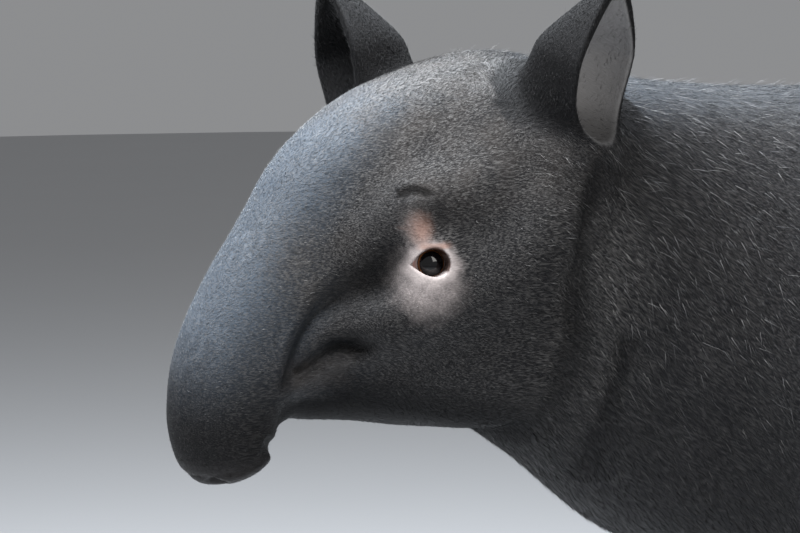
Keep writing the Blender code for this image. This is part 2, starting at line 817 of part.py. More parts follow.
def ball(name, centre, radii, cuts=24, rings=14, grow=0.0):
    """A rounded solid, each radius made larger by grow."""
    obj = mesh_object(name, [], [])
    mesh = bmesh.new()
    bmesh.ops.create_uvsphere(mesh, u_segments=cuts, v_segments=rings, radius=1.0)
    for vert in mesh.verts:
        vert.co = Vector([c + v * (r + grow) for c, v, r in zip(centre, vert.co, radii)])
    bmesh.ops.triangulate(mesh, faces=mesh.faces)
    mesh.to_mesh(obj.data)
    mesh.free()
    return obj


def copied(obj):
    twin = obj.copy()
    twin.data = obj.data.copy()
    bpy.context.scene.collection.objects.link(twin)
    return twin


def neck_block(way):
    """A box from the neck's front end, over the head where way is 1 and over the neck where it is -1."""
    normal = head_way(*NECK_CUT_WAY)
    return block(head_point(*NECK_CUT_PLACE) - normal * way * GAP / 2, normal * way, 0.5, 0.6)


def ear_box(side, offset):
    """A box that holds one ear and whose floor crosses the ear's root."""
    middle, way, opening = ear_place(side)
    normal = unit(way + head_way(0, side, 0) * 0.45)
    return block(middle - way * EAR_CUT - opening * EAR_ROOT + normal * offset, normal, 0.22, 0.080)


def head_nodes(field):
    head = region("head", field, (-1.02, -0.37, 0.58), (-0.46, 0.15, 1.18), 0.003, HEAD_TRIANGLES)
    nodes = {}
    for side, word in ((1, "left"), (-1, "right")):
        inner, outer = ear_box(side, GAP / 2), ear_box(side, -GAP / 2)
        ear = boolean(copied(head), inner, "INTERSECT")
        nodes |= named(parts_of(ear), {"ear_" + word: ear_place(side)[0]})
        boolean(head, outer)
        removed(inner, outer)
    cutters = [neck_block(-1)]
    for path in (TRUNK_CUT, JAW_CUT):
        cutters.append(sheet([head_point(f, 0, u) for f, u in path], HEAD_LEFT, 0.2))
    for side, word in ((1, "left"), (-1, "right")):
        radii = (EYE_RADIUS,) * 3
        nodes["eye_" + word] = ball("eye_" + word, eye_centre(side), radii, 16, 10)
        cutters.append(ball("socket", eye_centre(side), radii, 16, 10, grow=0.0004))
    for cutter in cutters:
        boolean(head, cutter)
    removed(*cutters)
    seeds = {
        "head": head_point(-0.02, 0, 0.02), "trunk": head_point(0.15, 0, -0.09),
        "lower_jaw": head_point(-0.02, 0, -0.12),
    }
    return nodes | named(parts_of(head), seeds)


def body_nodes(field):
    body = region("body", field, (-0.70, -0.37, 0.10), (0.93, 0.37, 1.12), 0.006, BODY_TRIANGLES)
    ahead = neck_block(1)
    below = block((0, 0, ANKLE_HEIGHT + GAP / 2), (0, 0, -1), 0.2, 2.0)
    for cutter in (ear_box(1, -GAP / 2), ahead, below):
        boolean(body, cutter)
        removed(cutter)
    nodes = {}
    sockets = []
    for name, stride in LEG_STRIDE.items():
        rear = name.startswith("rear")
        side = -1 if name.endswith("left") else 1
        (x, y, z), radii = HIP_SOCKET if rear else SHOULDER_SOCKET
        centre = (x + stride * 0.6, side * y, z)
        socket = ball("socket", centre, radii)
        leg = boolean(copied(body), socket, "INTERSECT")
        removed(socket)
        cut = plate((x + stride * 0.6, side * 0.15, HOCK_HEIGHT if rear else WRIST_HEIGHT), (0, 0, 1), 0.2)
        boolean(leg, cut)
        removed(cut)
        place, word = name.split("_")
        seeds = {f"{place}_leg_upper_{word}": np.array([centre[0], side * 0.15, 0.5]),
                 f"{place}_leg_lower_{word}": np.array([centre[0], side * 0.15, 0.2])}
        nodes |= named(parts_of(leg), seeds)
        sockets.append(ball("socket", centre, radii, grow=GAP))
    cutters = sockets + [
        plate((CHEST_CUT_X, 0, 0.75), (1, 0, 0), 0.6),
        plate((SADDLE_CUT_X, 0, 0.75), (1, 0, 0), 0.6),
        plate(TAIL_CUT, (0.75, 0, -0.66), 0.050),
    ]
    for cutter in cutters:
        boolean(body, cutter)
    removed(*cutters)
    seeds = {
        "neck": np.array([-0.45, -0.02, 0.78]), "shoulders": np.array([-0.2, 0, 0.72]),
        "torso": np.array([0.3, 0, 0.75]), "tail": np.array([0.88, 0, 0.82]),
    }
    return nodes | named(parts_of(body), seeds)


def hoof(name, root, way, size, lift, grow=0.0):
    """A horny nail: a rounded wedge with its flat sole down."""
    obj = mesh_object(name, [], [])
    mesh = bmesh.new()
    bmesh.ops.create_uvsphere(mesh, u_segments=10, v_segments=6, radius=1.0)
    side = np.cross((0, 0, 1), way)
    reach = TOE_REACH * (0.55 + 0.45 * size) + 0.004
    length, half, height = (r * size + grow for r in HOOF_RADII)
    for vert in mesh.verts:
        a, b, c = vert.co
        lean = -0.30 * max(c, 0) * height
        place = root + way * (reach + a * length + lean) + side * b * half
        vert.co = (place[0], place[1], lift + c * height)
    everything = mesh.verts[:] + mesh.edges[:] + mesh.faces[:]
    floor = {"plane_co": (0, 0, lift - grow), "plane_no": (0, 0, 1)}
    cut = bmesh.ops.bisect_plane(mesh, geom=everything, dist=1e-6, clear_inner=True, **floor)
    edges = [e for e in cut["geom_cut"] if isinstance(e, bmesh.types.BMEdge)]
    bmesh.ops.contextual_create(mesh, geom=edges)
    bmesh.ops.triangulate(mesh, faces=mesh.faces)
    mesh.to_mesh(obj.data)
    mesh.free()
    outward(obj)
    return obj


def foot_nodes(field):
    nodes = {}
    for name in LEG_STRIDE:
        place, word = name.split("_")
        x, y = leg_rows(name)[-1][:2]
        lo, hi = (x - 0.16, y - 0.13, -0.04), (x + 0.11, y + 0.13, 0.15)
        foot = region("foot", field, lo, hi, 0.0035, FOOT_TRIANGLES)
        cutters = [
            block((x, y, ANKLE_HEIGHT - GAP / 2), (0, 0, 1), 0.1, 0.4),
            block((x, y, 0), (0, 0, -1), 0.1, 0.4),
        ]
        for number, toe in enumerate(leg_toes(name), 1):
            label = f"hoof_{place}_{word}_{number}"
            nodes[label] = hoof(label, *toe)
            cutters.append(hoof("cutter", *toe, grow=GAP * 1.5))
        for cutter in cutters:
            boolean(foot, cutter)
        removed(*cutters)
        label = f"{place}_foot_{word}"
        nodes |= named(parts_of(foot), {label: np.array([x, y, 0.05])})
    return nodes


def finish_of(name):
    if name.startswith("eye"):
        return "eye"
    if name.startswith("hoof"):
        return "hoof"
    return "pale" if name == "torso" else "dark"


def dressed(name, obj):
    colour, roughness = COATS[finish_of(name)]
    material = bpy.data.materials.new(name)
    material.use_nodes = True
    shader = material.node_tree.nodes["Principled BSDF"]
    shader.inputs["Base Color"].default_value = colour
    shader.inputs["Roughness"].default_value = roughness
    obj.data.materials.clear()
    obj.data.materials.append(material)
    obj.data.shade_smooth()
    obj.data.set_sharp_from_angle(angle=math.radians(50))


def centred(objects):
    """Moves the whole animal so that the middle of its box is over the origin."""
    points = np.array([v.co for obj in objects for v in obj.data.vertices])
    shift = (points.min(0) + points.max(0)) / 2
    for obj in objects:
        obj.data.transform(Matrix.Translation((-shift[0], -shift[1], 0)))


def main():
    for obj in list(bpy.data.objects):
        bpy.data.objects.remove(obj, do_unlink=True)
    field = tapir_field()
    nodes = head_nodes(field) | body_nodes(field) | foot_nodes(field)
    centred(nodes.values())
    for name, obj in nodes.items():
        dressed(name, obj)


if __name__ == "__main__":
    main()
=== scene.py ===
"""The looks of a standing Malayan tapir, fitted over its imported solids.

One skin covers all the flesh: its shape is a field of rounded forms, drawn as a
fine surface a little inside the solids. Short tufts of hair lie along the skin,
and the eyes and the hooves are pieces of their own.
"""

import logging
import math
from concurrent.futures import ThreadPoolExecutor
from dataclasses import dataclass, field
from enum import Enum
from typing import Any, Callable, Optional, Sequence

import bmesh
import bpy
import numpy as np
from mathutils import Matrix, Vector


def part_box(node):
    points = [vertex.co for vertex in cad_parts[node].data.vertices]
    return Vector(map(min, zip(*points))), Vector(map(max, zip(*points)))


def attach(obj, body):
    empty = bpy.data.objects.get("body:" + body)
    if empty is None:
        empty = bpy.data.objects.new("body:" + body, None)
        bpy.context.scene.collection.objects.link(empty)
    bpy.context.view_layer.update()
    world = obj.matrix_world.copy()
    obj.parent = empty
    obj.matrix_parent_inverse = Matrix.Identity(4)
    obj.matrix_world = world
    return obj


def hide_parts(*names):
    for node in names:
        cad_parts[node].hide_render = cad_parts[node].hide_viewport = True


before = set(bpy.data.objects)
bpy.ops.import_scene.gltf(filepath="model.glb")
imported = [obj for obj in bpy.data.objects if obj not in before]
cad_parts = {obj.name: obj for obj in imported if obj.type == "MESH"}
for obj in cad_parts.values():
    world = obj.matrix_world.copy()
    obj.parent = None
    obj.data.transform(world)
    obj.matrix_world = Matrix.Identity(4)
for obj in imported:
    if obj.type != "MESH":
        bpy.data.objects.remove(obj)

Array = np.ndarray
Rows = Sequence[Sequence[float]]
Triple = tuple[float, float, float]
Colour = tuple[float, float, float, float]

LOG = logging.getLogger("tapir")

HEAD_YAW = math.radians(27.0)
HEAD_FRONT = np.array([-math.cos(HEAD_YAW), -math.sin(HEAD_YAW), 0.0])
HEAD_LEFT = np.array([math.sin(HEAD_YAW), -math.cos(HEAD_YAW), 0.0])
HEAD_UP = np.array([0.0, 0.0, 1.0])
BODY_LEFT = np.array([0.0, -1.0, 0.0])
EYE_RADIUS = 0.0195
EYE_PLACE = (-0.006, 0.0780, -0.004)
EYE_MIDDLE = np.array(sum(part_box("eye_left"), Vector())) / 2
HEAD_ORIGIN = EYE_MIDDLE - np.array(EYE_PLACE) @ np.array([HEAD_FRONT, HEAD_LEFT, HEAD_UP])
HEAD_OFFSET = (-0.735, -0.124, 0.84)
ORIGIN = HEAD_ORIGIN - HEAD_OFFSET
SPLINE = np.array([[0, 2, 0, 0], [-1, 0, 1, 0], [2, -5, 4, -1], [-1, 3, -3, 1]]) / 2.0
CURVE_STEPS = 8
COARSE_SPREAD = 8
WORKERS = 4
WORKER_POINTS = 12000
FAR = 1e9


def unit(v: Array) -> Array:
    """Rows of v at length 1."""
    return v / np.maximum(np.linalg.norm(v, axis=-1, keepdims=True), 1e-9)


def ease(value: Array, low: float, high: float) -> Array:
    """0 at low and 1 at high, with a smooth rise between them."""
    t = np.clip((value - low) / (high - low), 0, 1)
    return t * t * (3 - 2 * t)


def smooth_min(a: Array, b: Array, k: float) -> Array:
    """The lesser of a and b, rounded over where they are within k."""
    h = np.maximum(k - np.abs(a - b), 0) / k
    return np.minimum(a, b) - h * h * k * 0.25


def smooth_max(a: Array, b: Array, k: float) -> Array:
    """The greater of a and b, rounded over where they are within k."""
    return -smooth_min(-a, -b, k)


def smooth_rows(rows: Rows, steps: int = CURVE_STEPS) -> Array:
    """Rows of numbers joined by a smooth curve.

    Args:
        rows: The numbers of each station, in order.
        steps: How many pieces the curve has between two stations.

    Returns:
        The rows of the whole curve.
    """
    rows = np.asarray(rows, float)
    ext = np.vstack([2 * rows[0] - rows[1], rows, 2 * rows[-1] - rows[-2]])
    out = []
    for i in range(len(rows) - 1):
        for k in range(steps):
            t = k / steps
            weights = np.array([1, t, t * t, t ** 3]) @ SPLINE
            out.append(weights @ ext[i:i + 4])
    out.append(rows[-1])
    return np.array(out)


def head_point(front: float, left: float, up: float) -> Array:
    """A place given in the head's own directions, from between the eyes' level."""
    return HEAD_ORIGIN + front * HEAD_FRONT + left * HEAD_LEFT + up * HEAD_UP


def head_way(front: float, left: float, up: float) -> Array:
    """A direction given in the head's own directions."""
    return unit(front * HEAD_FRONT + left * HEAD_LEFT + up * HEAD_UP)


def head_coordinates(p: Array) -> tuple[Array, Array, Array]:
    """How far in front, to the left and above the head's origin each point is."""
    rel = p - HEAD_ORIGIN
    return rel @ HEAD_FRONT, rel @ HEAD_LEFT, rel @ HEAD_UP


def segment_gaps(p: Array, a: Array, b: Array) -> tuple[Array, Array]:
    """How far each point is from a straight piece of a curve.

    Args:
        p: The points.
        a: Where the piece starts.
        b: Where it ends.

    Returns:
        The share of the piece that is passed at the nearest place, and the square of the distance.
    """
    d = b - a
    rel = p - a
    t = np.clip(rel @ d / (d @ d), 0, 1)
    q = rel - t[:, None] * d
    return t, np.einsum("ij,ij->i", q, q)


def ellipsoid_gap(rel: Array, radii: Array) -> Array:
    """The distance from each point to an ellipsoid's surface.

    Args:
        rel: Points given from its middle, along its axes.
        radii: Its three radii.

    Returns:
        The distances, below 0 inside.
    """
    length = np.linalg.norm(rel, axis=1)
    share = np.linalg.norm(rel / radii, axis=1)
    return length - length / np.maximum(share, 1e-6)


def linked(name: str, data: Any) -> bpy.types.Object:
    """A new object in the scene.

    Args:
        name: Its name.
        data: Its mesh, lamp or camera.

    Returns:
        The object.
    """
    made = bpy.data.objects.new(name, data)
    bpy.context.scene.collection.objects.link(made)
    return made


def mesh_of(name: str, drawn: bmesh.types.BMesh) -> bpy.types.Mesh:
    """A finished mesh.

    Args:
        name: Its name.
        drawn: What it is made from, which is freed.

    Returns:
        The mesh.
    """
    data = bpy.data.meshes.new(name)
    drawn.to_mesh(data)
    drawn.free()
    return data


class Side(Enum):
    """A side of the animal, as the sign of its left direction."""

    LEFT = 1
    RIGHT = -1


class Form:
    """A shape that gives its distance at any point, below 0 inside."""

    soften: float
    lo: Array
    hi: Array

    def bound(self, points: Array, reach: float) -> None:
        """Sets the shape's box, a reach outside its points."""
        self.lo = np.atleast_2d(points).min(0) - reach
        self.hi = np.atleast_2d(points).max(0) + reach

    def distance(self, p: Array) -> Array:
        """The distance from each point to the shape's surface."""
        raise NotImplementedError

    def gap(self, p: Array) -> Array:
        """How far each point is outside the shape's box."""
        return np.maximum(np.maximum(self.lo - p, p - self.hi), 0).max(1)


class Tube(Form):
    """A tapered tube: each station is a centre, then its half width, up and down."""

    def __init__(self, stations: Rows, side: Array, soften: float = 0.03,
                 power: float = 2.0, caps: tuple[Optional[float], Optional[float]] = (None, None),
                 steps: int = CURVE_STEPS) -> None:
        """Joins the stations by a smooth curve.

        Args:
            stations: Rows of a centre and three radii.
            side: The direction of the half width.
            soften: How softly the tube joins other forms.
            power: 2 for an ellipse, more for a squarer section.
            caps: How far each end bulges, or None for its least radius.
            steps: How many pieces the curve has between two stations.
        """
        rows = smooth_rows(stations, steps)
        self.centre = rows[:, :3]
        self.radii = np.maximum(rows[:, 3:6], 1e-3)
        self.along = unit(np.gradient(self.centre, axis=0))
        sides = np.broadcast_to(np.asarray(side, float), self.centre.shape)
        lean = (sides * self.along).sum(1, keepdims=True)
        self.side = unit(sides - lean * self.along)
        self.up = np.cross(self.along, self.side)
        self.power = power
        self.soften = soften
        self.caps = [c or self.radii[i].min() for c, i in zip(caps, (0, -1))]
        self.bound(self.centre, self.radii.max() + max(self.caps) * 0.5)

    def nearest(self, p: Array) -> Array:
        """Where along the curve each point is nearest.

        Args:
            p: The points.

        Returns:
            The places along the curve, counted in pieces.
        """
        best = np.full(len(p), FAR)
        at = np.zeros(len(p))
        for i, (a, b) in enumerate(zip(self.centre[:-1], self.centre[1:])):
            t, gap = segment_gaps(p, a, b)
            closer = gap < best
            best[closer] = gap[closer]
            at[closer] = i + t[closer]
        return at

    def distance(self, p: Array) -> Array:
        """The distance from each point to the tube's surface.

        Args:
            p: The points.

        Returns:
            The distances, below 0 inside.
        """
        count = len(self.centre) - 1
        at = self.nearest(p)
        i = np.minimum(at.astype(int), count - 1)
        w = (at - i)[:, None]

        def mixed(rows: Array) -> Array:
            """The rows read between two stations."""
            return rows[i] * (1 - w) + rows[i + 1] * w

        rel = p - mixed(self.centre)
        radii = mixed(self.radii)
        across = (rel * mixed(self.side)).sum(1)
        rise = (rel * mixed(self.up)).sum(1)
        ahead = (rel * mixed(self.along)).sum(1)
        start = at <= 1e-6
        ended = start | (at >= count - 1e-6)
        cap = np.where(start, self.caps[0], self.caps[1])
        ahead = np.where(ended, ahead, 0)
        height = np.where(rise > 0, radii[:, 1], radii[:, 2])
        n = self.power
        share = (np.abs(across) / radii[:, 0]) ** n + (np.abs(rise) / height) ** n
        share = (share + (np.abs(ahead) / cap) ** n) ** (1 / n)
        length = np.sqrt(across ** 2 + rise ** 2 + ahead ** 2)
        return length - length / np.maximum(share, 1e-6)


class Blob(Form):
    """An ellipsoid, its axes as rows."""

    def __init__(self, centre: Sequence[float], radii: Sequence[float],
                 axes: Optional[Sequence[Array]] = None, soften: float = 0.03) -> None:
        """Places the ellipsoid.

        Args:
            centre: Its middle.
            radii: Its three radii.
            axes: The directions of its radii, or None for the frame's own.
            soften: How softly it joins other forms.
        """
        self.centre = np.asarray(centre, float)
        self.radii = np.asarray(radii, float)
        self.axes = np.eye(3) if axes is None else np.asarray(axes, float)
        self.soften = soften
        self.bound(self.centre, self.radii.max())

    def distance(self, p: Array) -> Array:
        """The distance from each point to the ellipsoid's surface."""
        return ellipsoid_gap((p - self.centre) @ self.axes.T, self.radii)


class Leaf(Form):
    """A pointed ellipsoid, level with its rim on the side that it faces, if it has one."""

    tip_power: float = 1.6
    rim_round: float = 0.004

    def __init__(self, centre: Array, long: Array, face: Array, radii: Array,
                 taper: tuple[float, float], rim: Optional[float] = None, soften: float = 0.02) -> None:
        """Places the leaf.

        Args:
            centre: Its middle.
            long: The way to its point.
            face: The way that its rim faces.
            radii: Half its length, half its width and its depth.
            taper: How much its width and depth narrow toward the point.
            rim: How far in front of the middle the rim is.
            soften: How softly the leaf joins other forms.
        """
        self.centre = np.asarray(centre, float)
        self.axes = np.array([long, np.cross(long, face), face])
        self.radii = np.asarray(radii, float)
        self.taper = taper
        self.rim = rim
        self.soften = soften
        self.bound(self.centre, self.radii.max())

    def distance(self, p: Array) -> Array:
        """The distance from each point to the leaf's surface.

        Args:
            p: The points.

        Returns:
            The distances, below 0 inside.
        """
        rel = (p - self.centre) @ self.axes.T
        tip = np.clip(rel[:, 0] / self.radii[0], 0, 1)[:, None] ** self.tip_power
        rel[:, 1:] *= 1 + np.array(self.taper) * tip
        shell = ellipsoid_gap(rel, self.radii)
        if self.rim is None:
            return shell
        return smooth_max(shell, rel[:, 2] - self.rim, self.rim_round)


class EyeOpening(Form):
    """The almond between the lids, and the hollow behind it that holds the eye."""

    rear_reach: float = 0.68
    front_reach: float = 1.06
    rear_bow: float = 0.60
    lid_slope: float = 0.75
    lid_end: float = 0.93
    lid_wall: float = 0.007

    def __init__(self, centre: Array, facing: Array, hollow: float,
                 half_length: float, rise: float, drop: float, soften: float = 0.003) -> None:
        """Places the opening.

        Args:
            centre: The middle of the eye.
            facing: The way that the eye looks.
            hollow: The radius of the hollow.
            half_length: Half the almond's length.
            rise: How far the upper lid stands above the middle.
            drop: How far the lower lid hangs below the middle.
            soften: How round the lids' edges are.
        """
        self.centre = np.asarray(centre, float)
        self.facing = unit(np.asarray(facing, float))
        self.rise_axis = unit(HEAD_UP - self.facing[2] * self.facing)
        self.across = unit((HEAD_FRONT @ self.facing) * self.facing - HEAD_FRONT)
        self.hollow = hollow
        self.half_length = half_length
        self.rise = rise
        self.drop = drop
        self.soften = soften
        self.bound(self.centre, hollow * 2.5)

    def distance(self, p: Array) -> Array:
        """The distance from each point to the edge of the opening.

        Args:
            p: The points.

        Returns:
            The distances, below 0 in the opening and in the hollow.
        """
        rel = p - self.centre
        h = rel @ self.across
        v = rel @ self.rise_axis
        depth = rel @ self.facing
        reach = np.where(h > 0, self.rear_reach, self.front_reach) * self.half_length
        bow = 1 - (h / reach) ** 2
        bow = np.where(h > 0, np.sign(bow) * np.abs(bow) ** self.rear_bow, bow)
        gap = np.maximum(v - self.rise * bow, -self.drop * bow - v) * self.lid_slope
        floor = 0.4 * self.hollow + 0.60 * self.hollow * ease(-h / self.half_length, 0.60, 1.0)
        slot = np.maximum(gap, floor - depth)
        ball = np.linalg.norm(rel, axis=1) - self.hollow
        return np.minimum(slot, ball)

    def edge(self, grow: float, upper: bool, count: int = 9) -> list[Array]:
        """Points along a line round one lid.

        Args:
            grow: How far outside the lid's edge the line runs.
            upper: Whether it is the upper lid.
            count: How many points the line has.

        Returns:
            The points, from one corner of the eye to the other.
        """
        out = []
        reach = self.half_length + grow
        height = (self.rise if upper else -self.drop) + (grow if upper else -grow)
        for share in np.linspace(-self.lid_end, self.lid_end, count):
            flat = share * reach * self.across + height * (1 - share ** 2) * self.rise_axis
            depth = math.sqrt(max((self.hollow + self.lid_wall) ** 2 - flat @ flat, 1e-5))
            out.append(self.centre + flat + depth * self.facing)
        return out


class Stroke(Form):
    """A ridge raised along a path on the surface, or a furrow where height is below 0."""

    def __init__(self, path: Rows, radius: float, height: float,
                 through: float = 1.0) -> None:
        """Lays the stroke along a smooth curve through the path.

        Args:
            path: Places on the surface.
            radius: How far the stroke reaches from its path.
            height: How high it stands.
            through: How much a distance to the head's left or right counts.
        """
        self.squeeze = np.eye(3) - (1 - through) * np.outer(HEAD_LEFT, HEAD_LEFT)
        path = smooth_rows(path, 4)
        self.path = path @ self.squeeze
        self.radius = radius
        self.height = height
        self.bound(path, radius * (2.5 if through < 1 else 1))

    def distance(self, p: Array) -> Array:
        """How far the stroke moves the surface at each point.

        Args:
            p: The points.

        Returns:
            What it adds to the skin's distance, below 0 for a ridge.
        """
        near = np.full(len(p), FAR)
        p = p @ self.squeeze
        for a, b in zip(self.path[:-1], self.path[1:]):
            near = np.minimum(near, segment_gaps(p, a, b)[1])
        share = np.clip(1 - near / self.radius ** 2, 0, 1)
        return -self.height * share ** 2


@dataclass
class Field:
    """Forms joined softly, then furrowed, then hollowed."""

    forms: list[Form]
    cuts: list[Form]
    strokes: list[Stroke]
    depth: Callable[[Array], Array]
    outside: float = 0.3
    join_reach: float = 0.03
    fold_reach: float = 0.05

    def __call__(self, p: Array) -> Array:
        """The distance from each point to the skin.

        Args:
            p: The points.

        Returns:
            The distances, below 0 inside.
        """
        if len(p) < 2 * WORKER_POINTS:
            return self.single(p)
        shares = [p[i:i + WORKER_POINTS] for i in range(0, len(p), WORKER_POINTS)]
        with ThreadPoolExecutor(WORKERS) as workers:
            return np.concatenate(list(workers.map(self.single, shares)))

    def single(self, p: Array) -> Array:
        """The distance from each of a few points to the skin.

        Args:
            p: The points.

        Returns:
            The distances, below 0 inside.
        """
        out = np.full(len(p), self.outside)
        for form in self.forms:
            near = form.gap(p) < max(self.join_reach, form.soften)
            if near.any():
                out[near] = smooth_min(out[near], form.distance(p[near]), form.soften)
        for stroke in self.strokes:
            near = (stroke.gap(p) <= 0) & (np.abs(out) < self.fold_reach)
            if near.any():
                out[near] += stroke.distance(p[near])
        for cut in self.cuts:
            near = cut.gap(p) <= 0
            if near.any():
                out[near] = smooth_max(out[near], -cut.distance(p[near]), cut.soften)
        return out + self.depth(p)

    def gradient(self, p: Array, e: float = 5e-4) -> Array:
        """The way that the distance grows at each point."""
        corners = np.array([[1, -1, -1], [-1, -1, 1], [-1, 1, -1], [1, 1, 1]], float)
        return sum(d * self(p + e * d)[:, None] for d in corners) / (4 * e)

    def settled(self, p: Array, most: float, rounds: int = 2) -> Array:
        """The points moved onto the surface.

        Args:
            p: Points near the surface.
            most: The longest move of a round.
            rounds: How many times they are moved.

        Returns:
            The moved points.
        """
        for _ in range(rounds):
            slope = self.gradient(p)
            step = self(p)[:, None] * slope
            step /= np.maximum((slope * slope).sum(1, keepdims=True), 0.05)
            size = np.linalg.norm(step, axis=1, keepdims=True)
            p = p - step * np.minimum(1, most / np.maximum(size, 1e-9))
        return p

    def sampled(self, lo: Array, hi: Array, step: float) -> Array:
        """Field values on a grid, exact only near the surface.

        Args:
            lo: The grid's lowest corner.
            hi: The grid's highest corner, or a little inside it.
            step: The side of a cell.

        Returns:
            The values at the cells' corners.
        """
        spread = COARSE_SPREAD
        count = np.ceil((hi - lo) / (step * spread)).astype(int)
        axes = [lo[i] + np.arange(count[i] + 1) * step * spread for i in range(3)]
        grid = np.stack(np.meshgrid(*axes, indexing="ij"), -1)
        values = self(grid.reshape(-1, 3)).reshape(grid.shape[:3])
        while spread > 1:
            spread //= 2
            for axis in range(3):
                values = doubled(values, axis)
            near = np.argwhere(np.abs(values) < step * spread * 3.0)
            values[tuple(near.T)] = self(lo + near * step * spread)
        return values


def sliced(axis: int, part: slice) -> tuple[slice, ...]:
    """What takes a part of a grid along one axis, and all of it along the others."""
    return tuple(part if i == axis else slice(None) for i in range(3))


def doubled(values: Array, axis: int) -> Array:
    """A grid with one more value midway between each two along an axis.

    Args:
        values: The grid.
        axis: The number of the axis.

    Returns:
        The finer grid.
    """
    finer = np.delete(np.repeat(values, 2, axis), -1, axis)
    lower, upper = values[sliced(axis, slice(0, -1))], values[sliced(axis, slice(1, None))]
    finer[sliced(axis, slice(1, None, 2))] = (lower + upper) / 2
    return finer


def surface_of(values: Array, lo: Array, step: float) -> tuple[Array, Array]:
    """The surface where a grid of values changes sign.

    Args:
        values: The values at the cells' corners.
        lo: The grid's lowest corner.
        step: The side of a cell.

    Returns:
        The surface's points and its four sided faces.
    """
    inside = values < 0
    cells = np.array(values.shape) - 1
    faces, crossings, owners = [], [], []
    for axis in range(3):
        at = np.argwhere(inside[sliced(axis, slice(0, -1))] != inside[sliced(axis, slice(1, None))])
        a, b = (axis + 1) % 3, (axis + 2) % 3
        whole = (at[:, a] > 0) & (at[:, b] > 0) & (at[:, a] < cells[a]) & (at[:, b] < cells[b])
        at = at[whole]
        after = at.copy()
        after[:, axis] += 1
        v0 = values[tuple(at.T)]
        v1 = values[tuple(after.T)]
        point = at.astype(float)
        point[:, axis] += v0 / (v0 - v1)
        ring = []
        for da, db in ((0, 0), (1, 0), (1, 1), (0, 1)):
            cell = at.copy()
            cell[:, a] -= da
            cell[:, b] -= db
            ring.append(np.ravel_multi_index(cell.T, cells))
        ring = np.stack(ring, 1)
        owners.append(ring.reshape(-1))
        crossings.append(np.repeat(point, 4, 0))
        turned = v0 > 0
        ring[turned] = ring[turned][:, ::-1]
        faces.append(ring)
    used, index, share = np.unique(np.concatenate(owners), return_inverse=True, return_counts=True)
    placed = np.concatenate(crossings)
    points = np.stack([np.bincount(index, placed[:, k]) for k in range(3)], 1)
    return lo + points / share[:, None] * step, np.searchsorted(used, np.concatenate(faces))


def body_tube(rows: Rows, side: Array = BODY_LEFT, **options: Any) -> Tube:
    """A tube whose stations are given from the middle of the body's floor."""
    rows = np.asarray(rows, float)
    return Tube(np.hstack([rows[:, :3] + ORIGIN, rows[:, 3:]]), side, **options)


def head_tube(rows: Rows, **options: Any) -> Tube:
    """A tube whose stations are given in the head's own directions."""
    placed = np.array([head_point(*row[:3]) for row in rows])
    return Tube(np.hstack([placed, np.asarray(rows, float)[:, 3:]]), HEAD_LEFT, **options)


def head_blob(centre: Sequence[float], radii: Sequence[float], tilt: float = 0.0,
              soften: float = 0.03) -> Blob:
    """An ellipsoid in the head, its front axis tilted up."""
    front = head_way(math.cos(tilt), 0, math.sin(tilt))
    return Blob(head_point(*centre), radii, [front, HEAD_LEFT, np.cross(front, HEAD_LEFT)], soften)


def head_path(path: Rows, side: int = 1) -> list[Array]:
    """A path given in the head's own directions, on one side."""
    return [head_point(front, side * left, up) for front, left, up in path]


@dataclass
class Trunk:
    """The barrel of the body, its haunches and shoulders, the tail and the neck."""

    barrel: Rows = (
        (0.72, 0, 0.785, 0.165, 0.220, 0.230),
        (0.58, 0, 0.765, 0.208, 0.268, 0.275),
        (0.42, 0, 0.75, 0.235, 0.268, 0.300),
        (0.25, 0, 0.73, 0.248, 0.262, 0.310),
        (0.05, 0, 0.715, 0.243, 0.250, 0.292),
        (-0.12, 0, 0.712, 0.222, 0.238, 0.262),
        (-0.28, 0, 0.715, 0.185, 0.222, 0.230),
        (-0.40, 0, 0.72, 0.140, 0.20, 0.175),
    )
    tail: Rows = (
        (0.892, 0, 0.785, 0.010, 0.011, 0.011),
        (0.893, 0, 0.815, 0.015, 0.016, 0.016),
        (0.880, 0, 0.857, 0.020, 0.021, 0.021),
        (0.845, 0, 0.890, 0.025, 0.025, 0.025),
        (0.780, 0, 0.905, 0.032, 0.032, 0.032),
    )
    neck: Rows = (
        (-0.12, 0, 0.735, 0.172, 0.196, 0.235),
        (-0.28, -0.004, 0.750, 0.168, 0.202, 0.222),
        (-0.42, -0.018, 0.775, 0.152, 0.194, 0.204),
        (-0.53, -0.045, 0.805, 0.134, 0.180, 0.172),
        (-0.61, -0.072, 0.830, 0.120, 0.164, 0.135),
    )
    haunch: tuple[float, ...] = (0.62, 0.095, 0.82, 0.195, 0.115, 0.17)
    shoulder: tuple[float, ...] = (-0.20, 0.115, 0.72, 0.135, 0.095, 0.20)

    def forms(self) -> list[Form]:
        """The rounded forms, from the rump forward to the nape.

        Returns:
            The forms of the trunk.
        """
        made: list[Form] = [
            body_tube(self.barrel, soften=0.06, power=2.1, caps=(0.115, None)),
            body_tube(self.tail, soften=0.014),
            body_tube(self.neck, unit(BODY_LEFT + HEAD_LEFT), soften=0.06),
        ]
        for side in Side:
            for x, y, z, *radii in (self.haunch, self.shoulder):
                made.append(Blob(ORIGIN + (x, side.value * y, z), radii, soften=0.07))
        return made


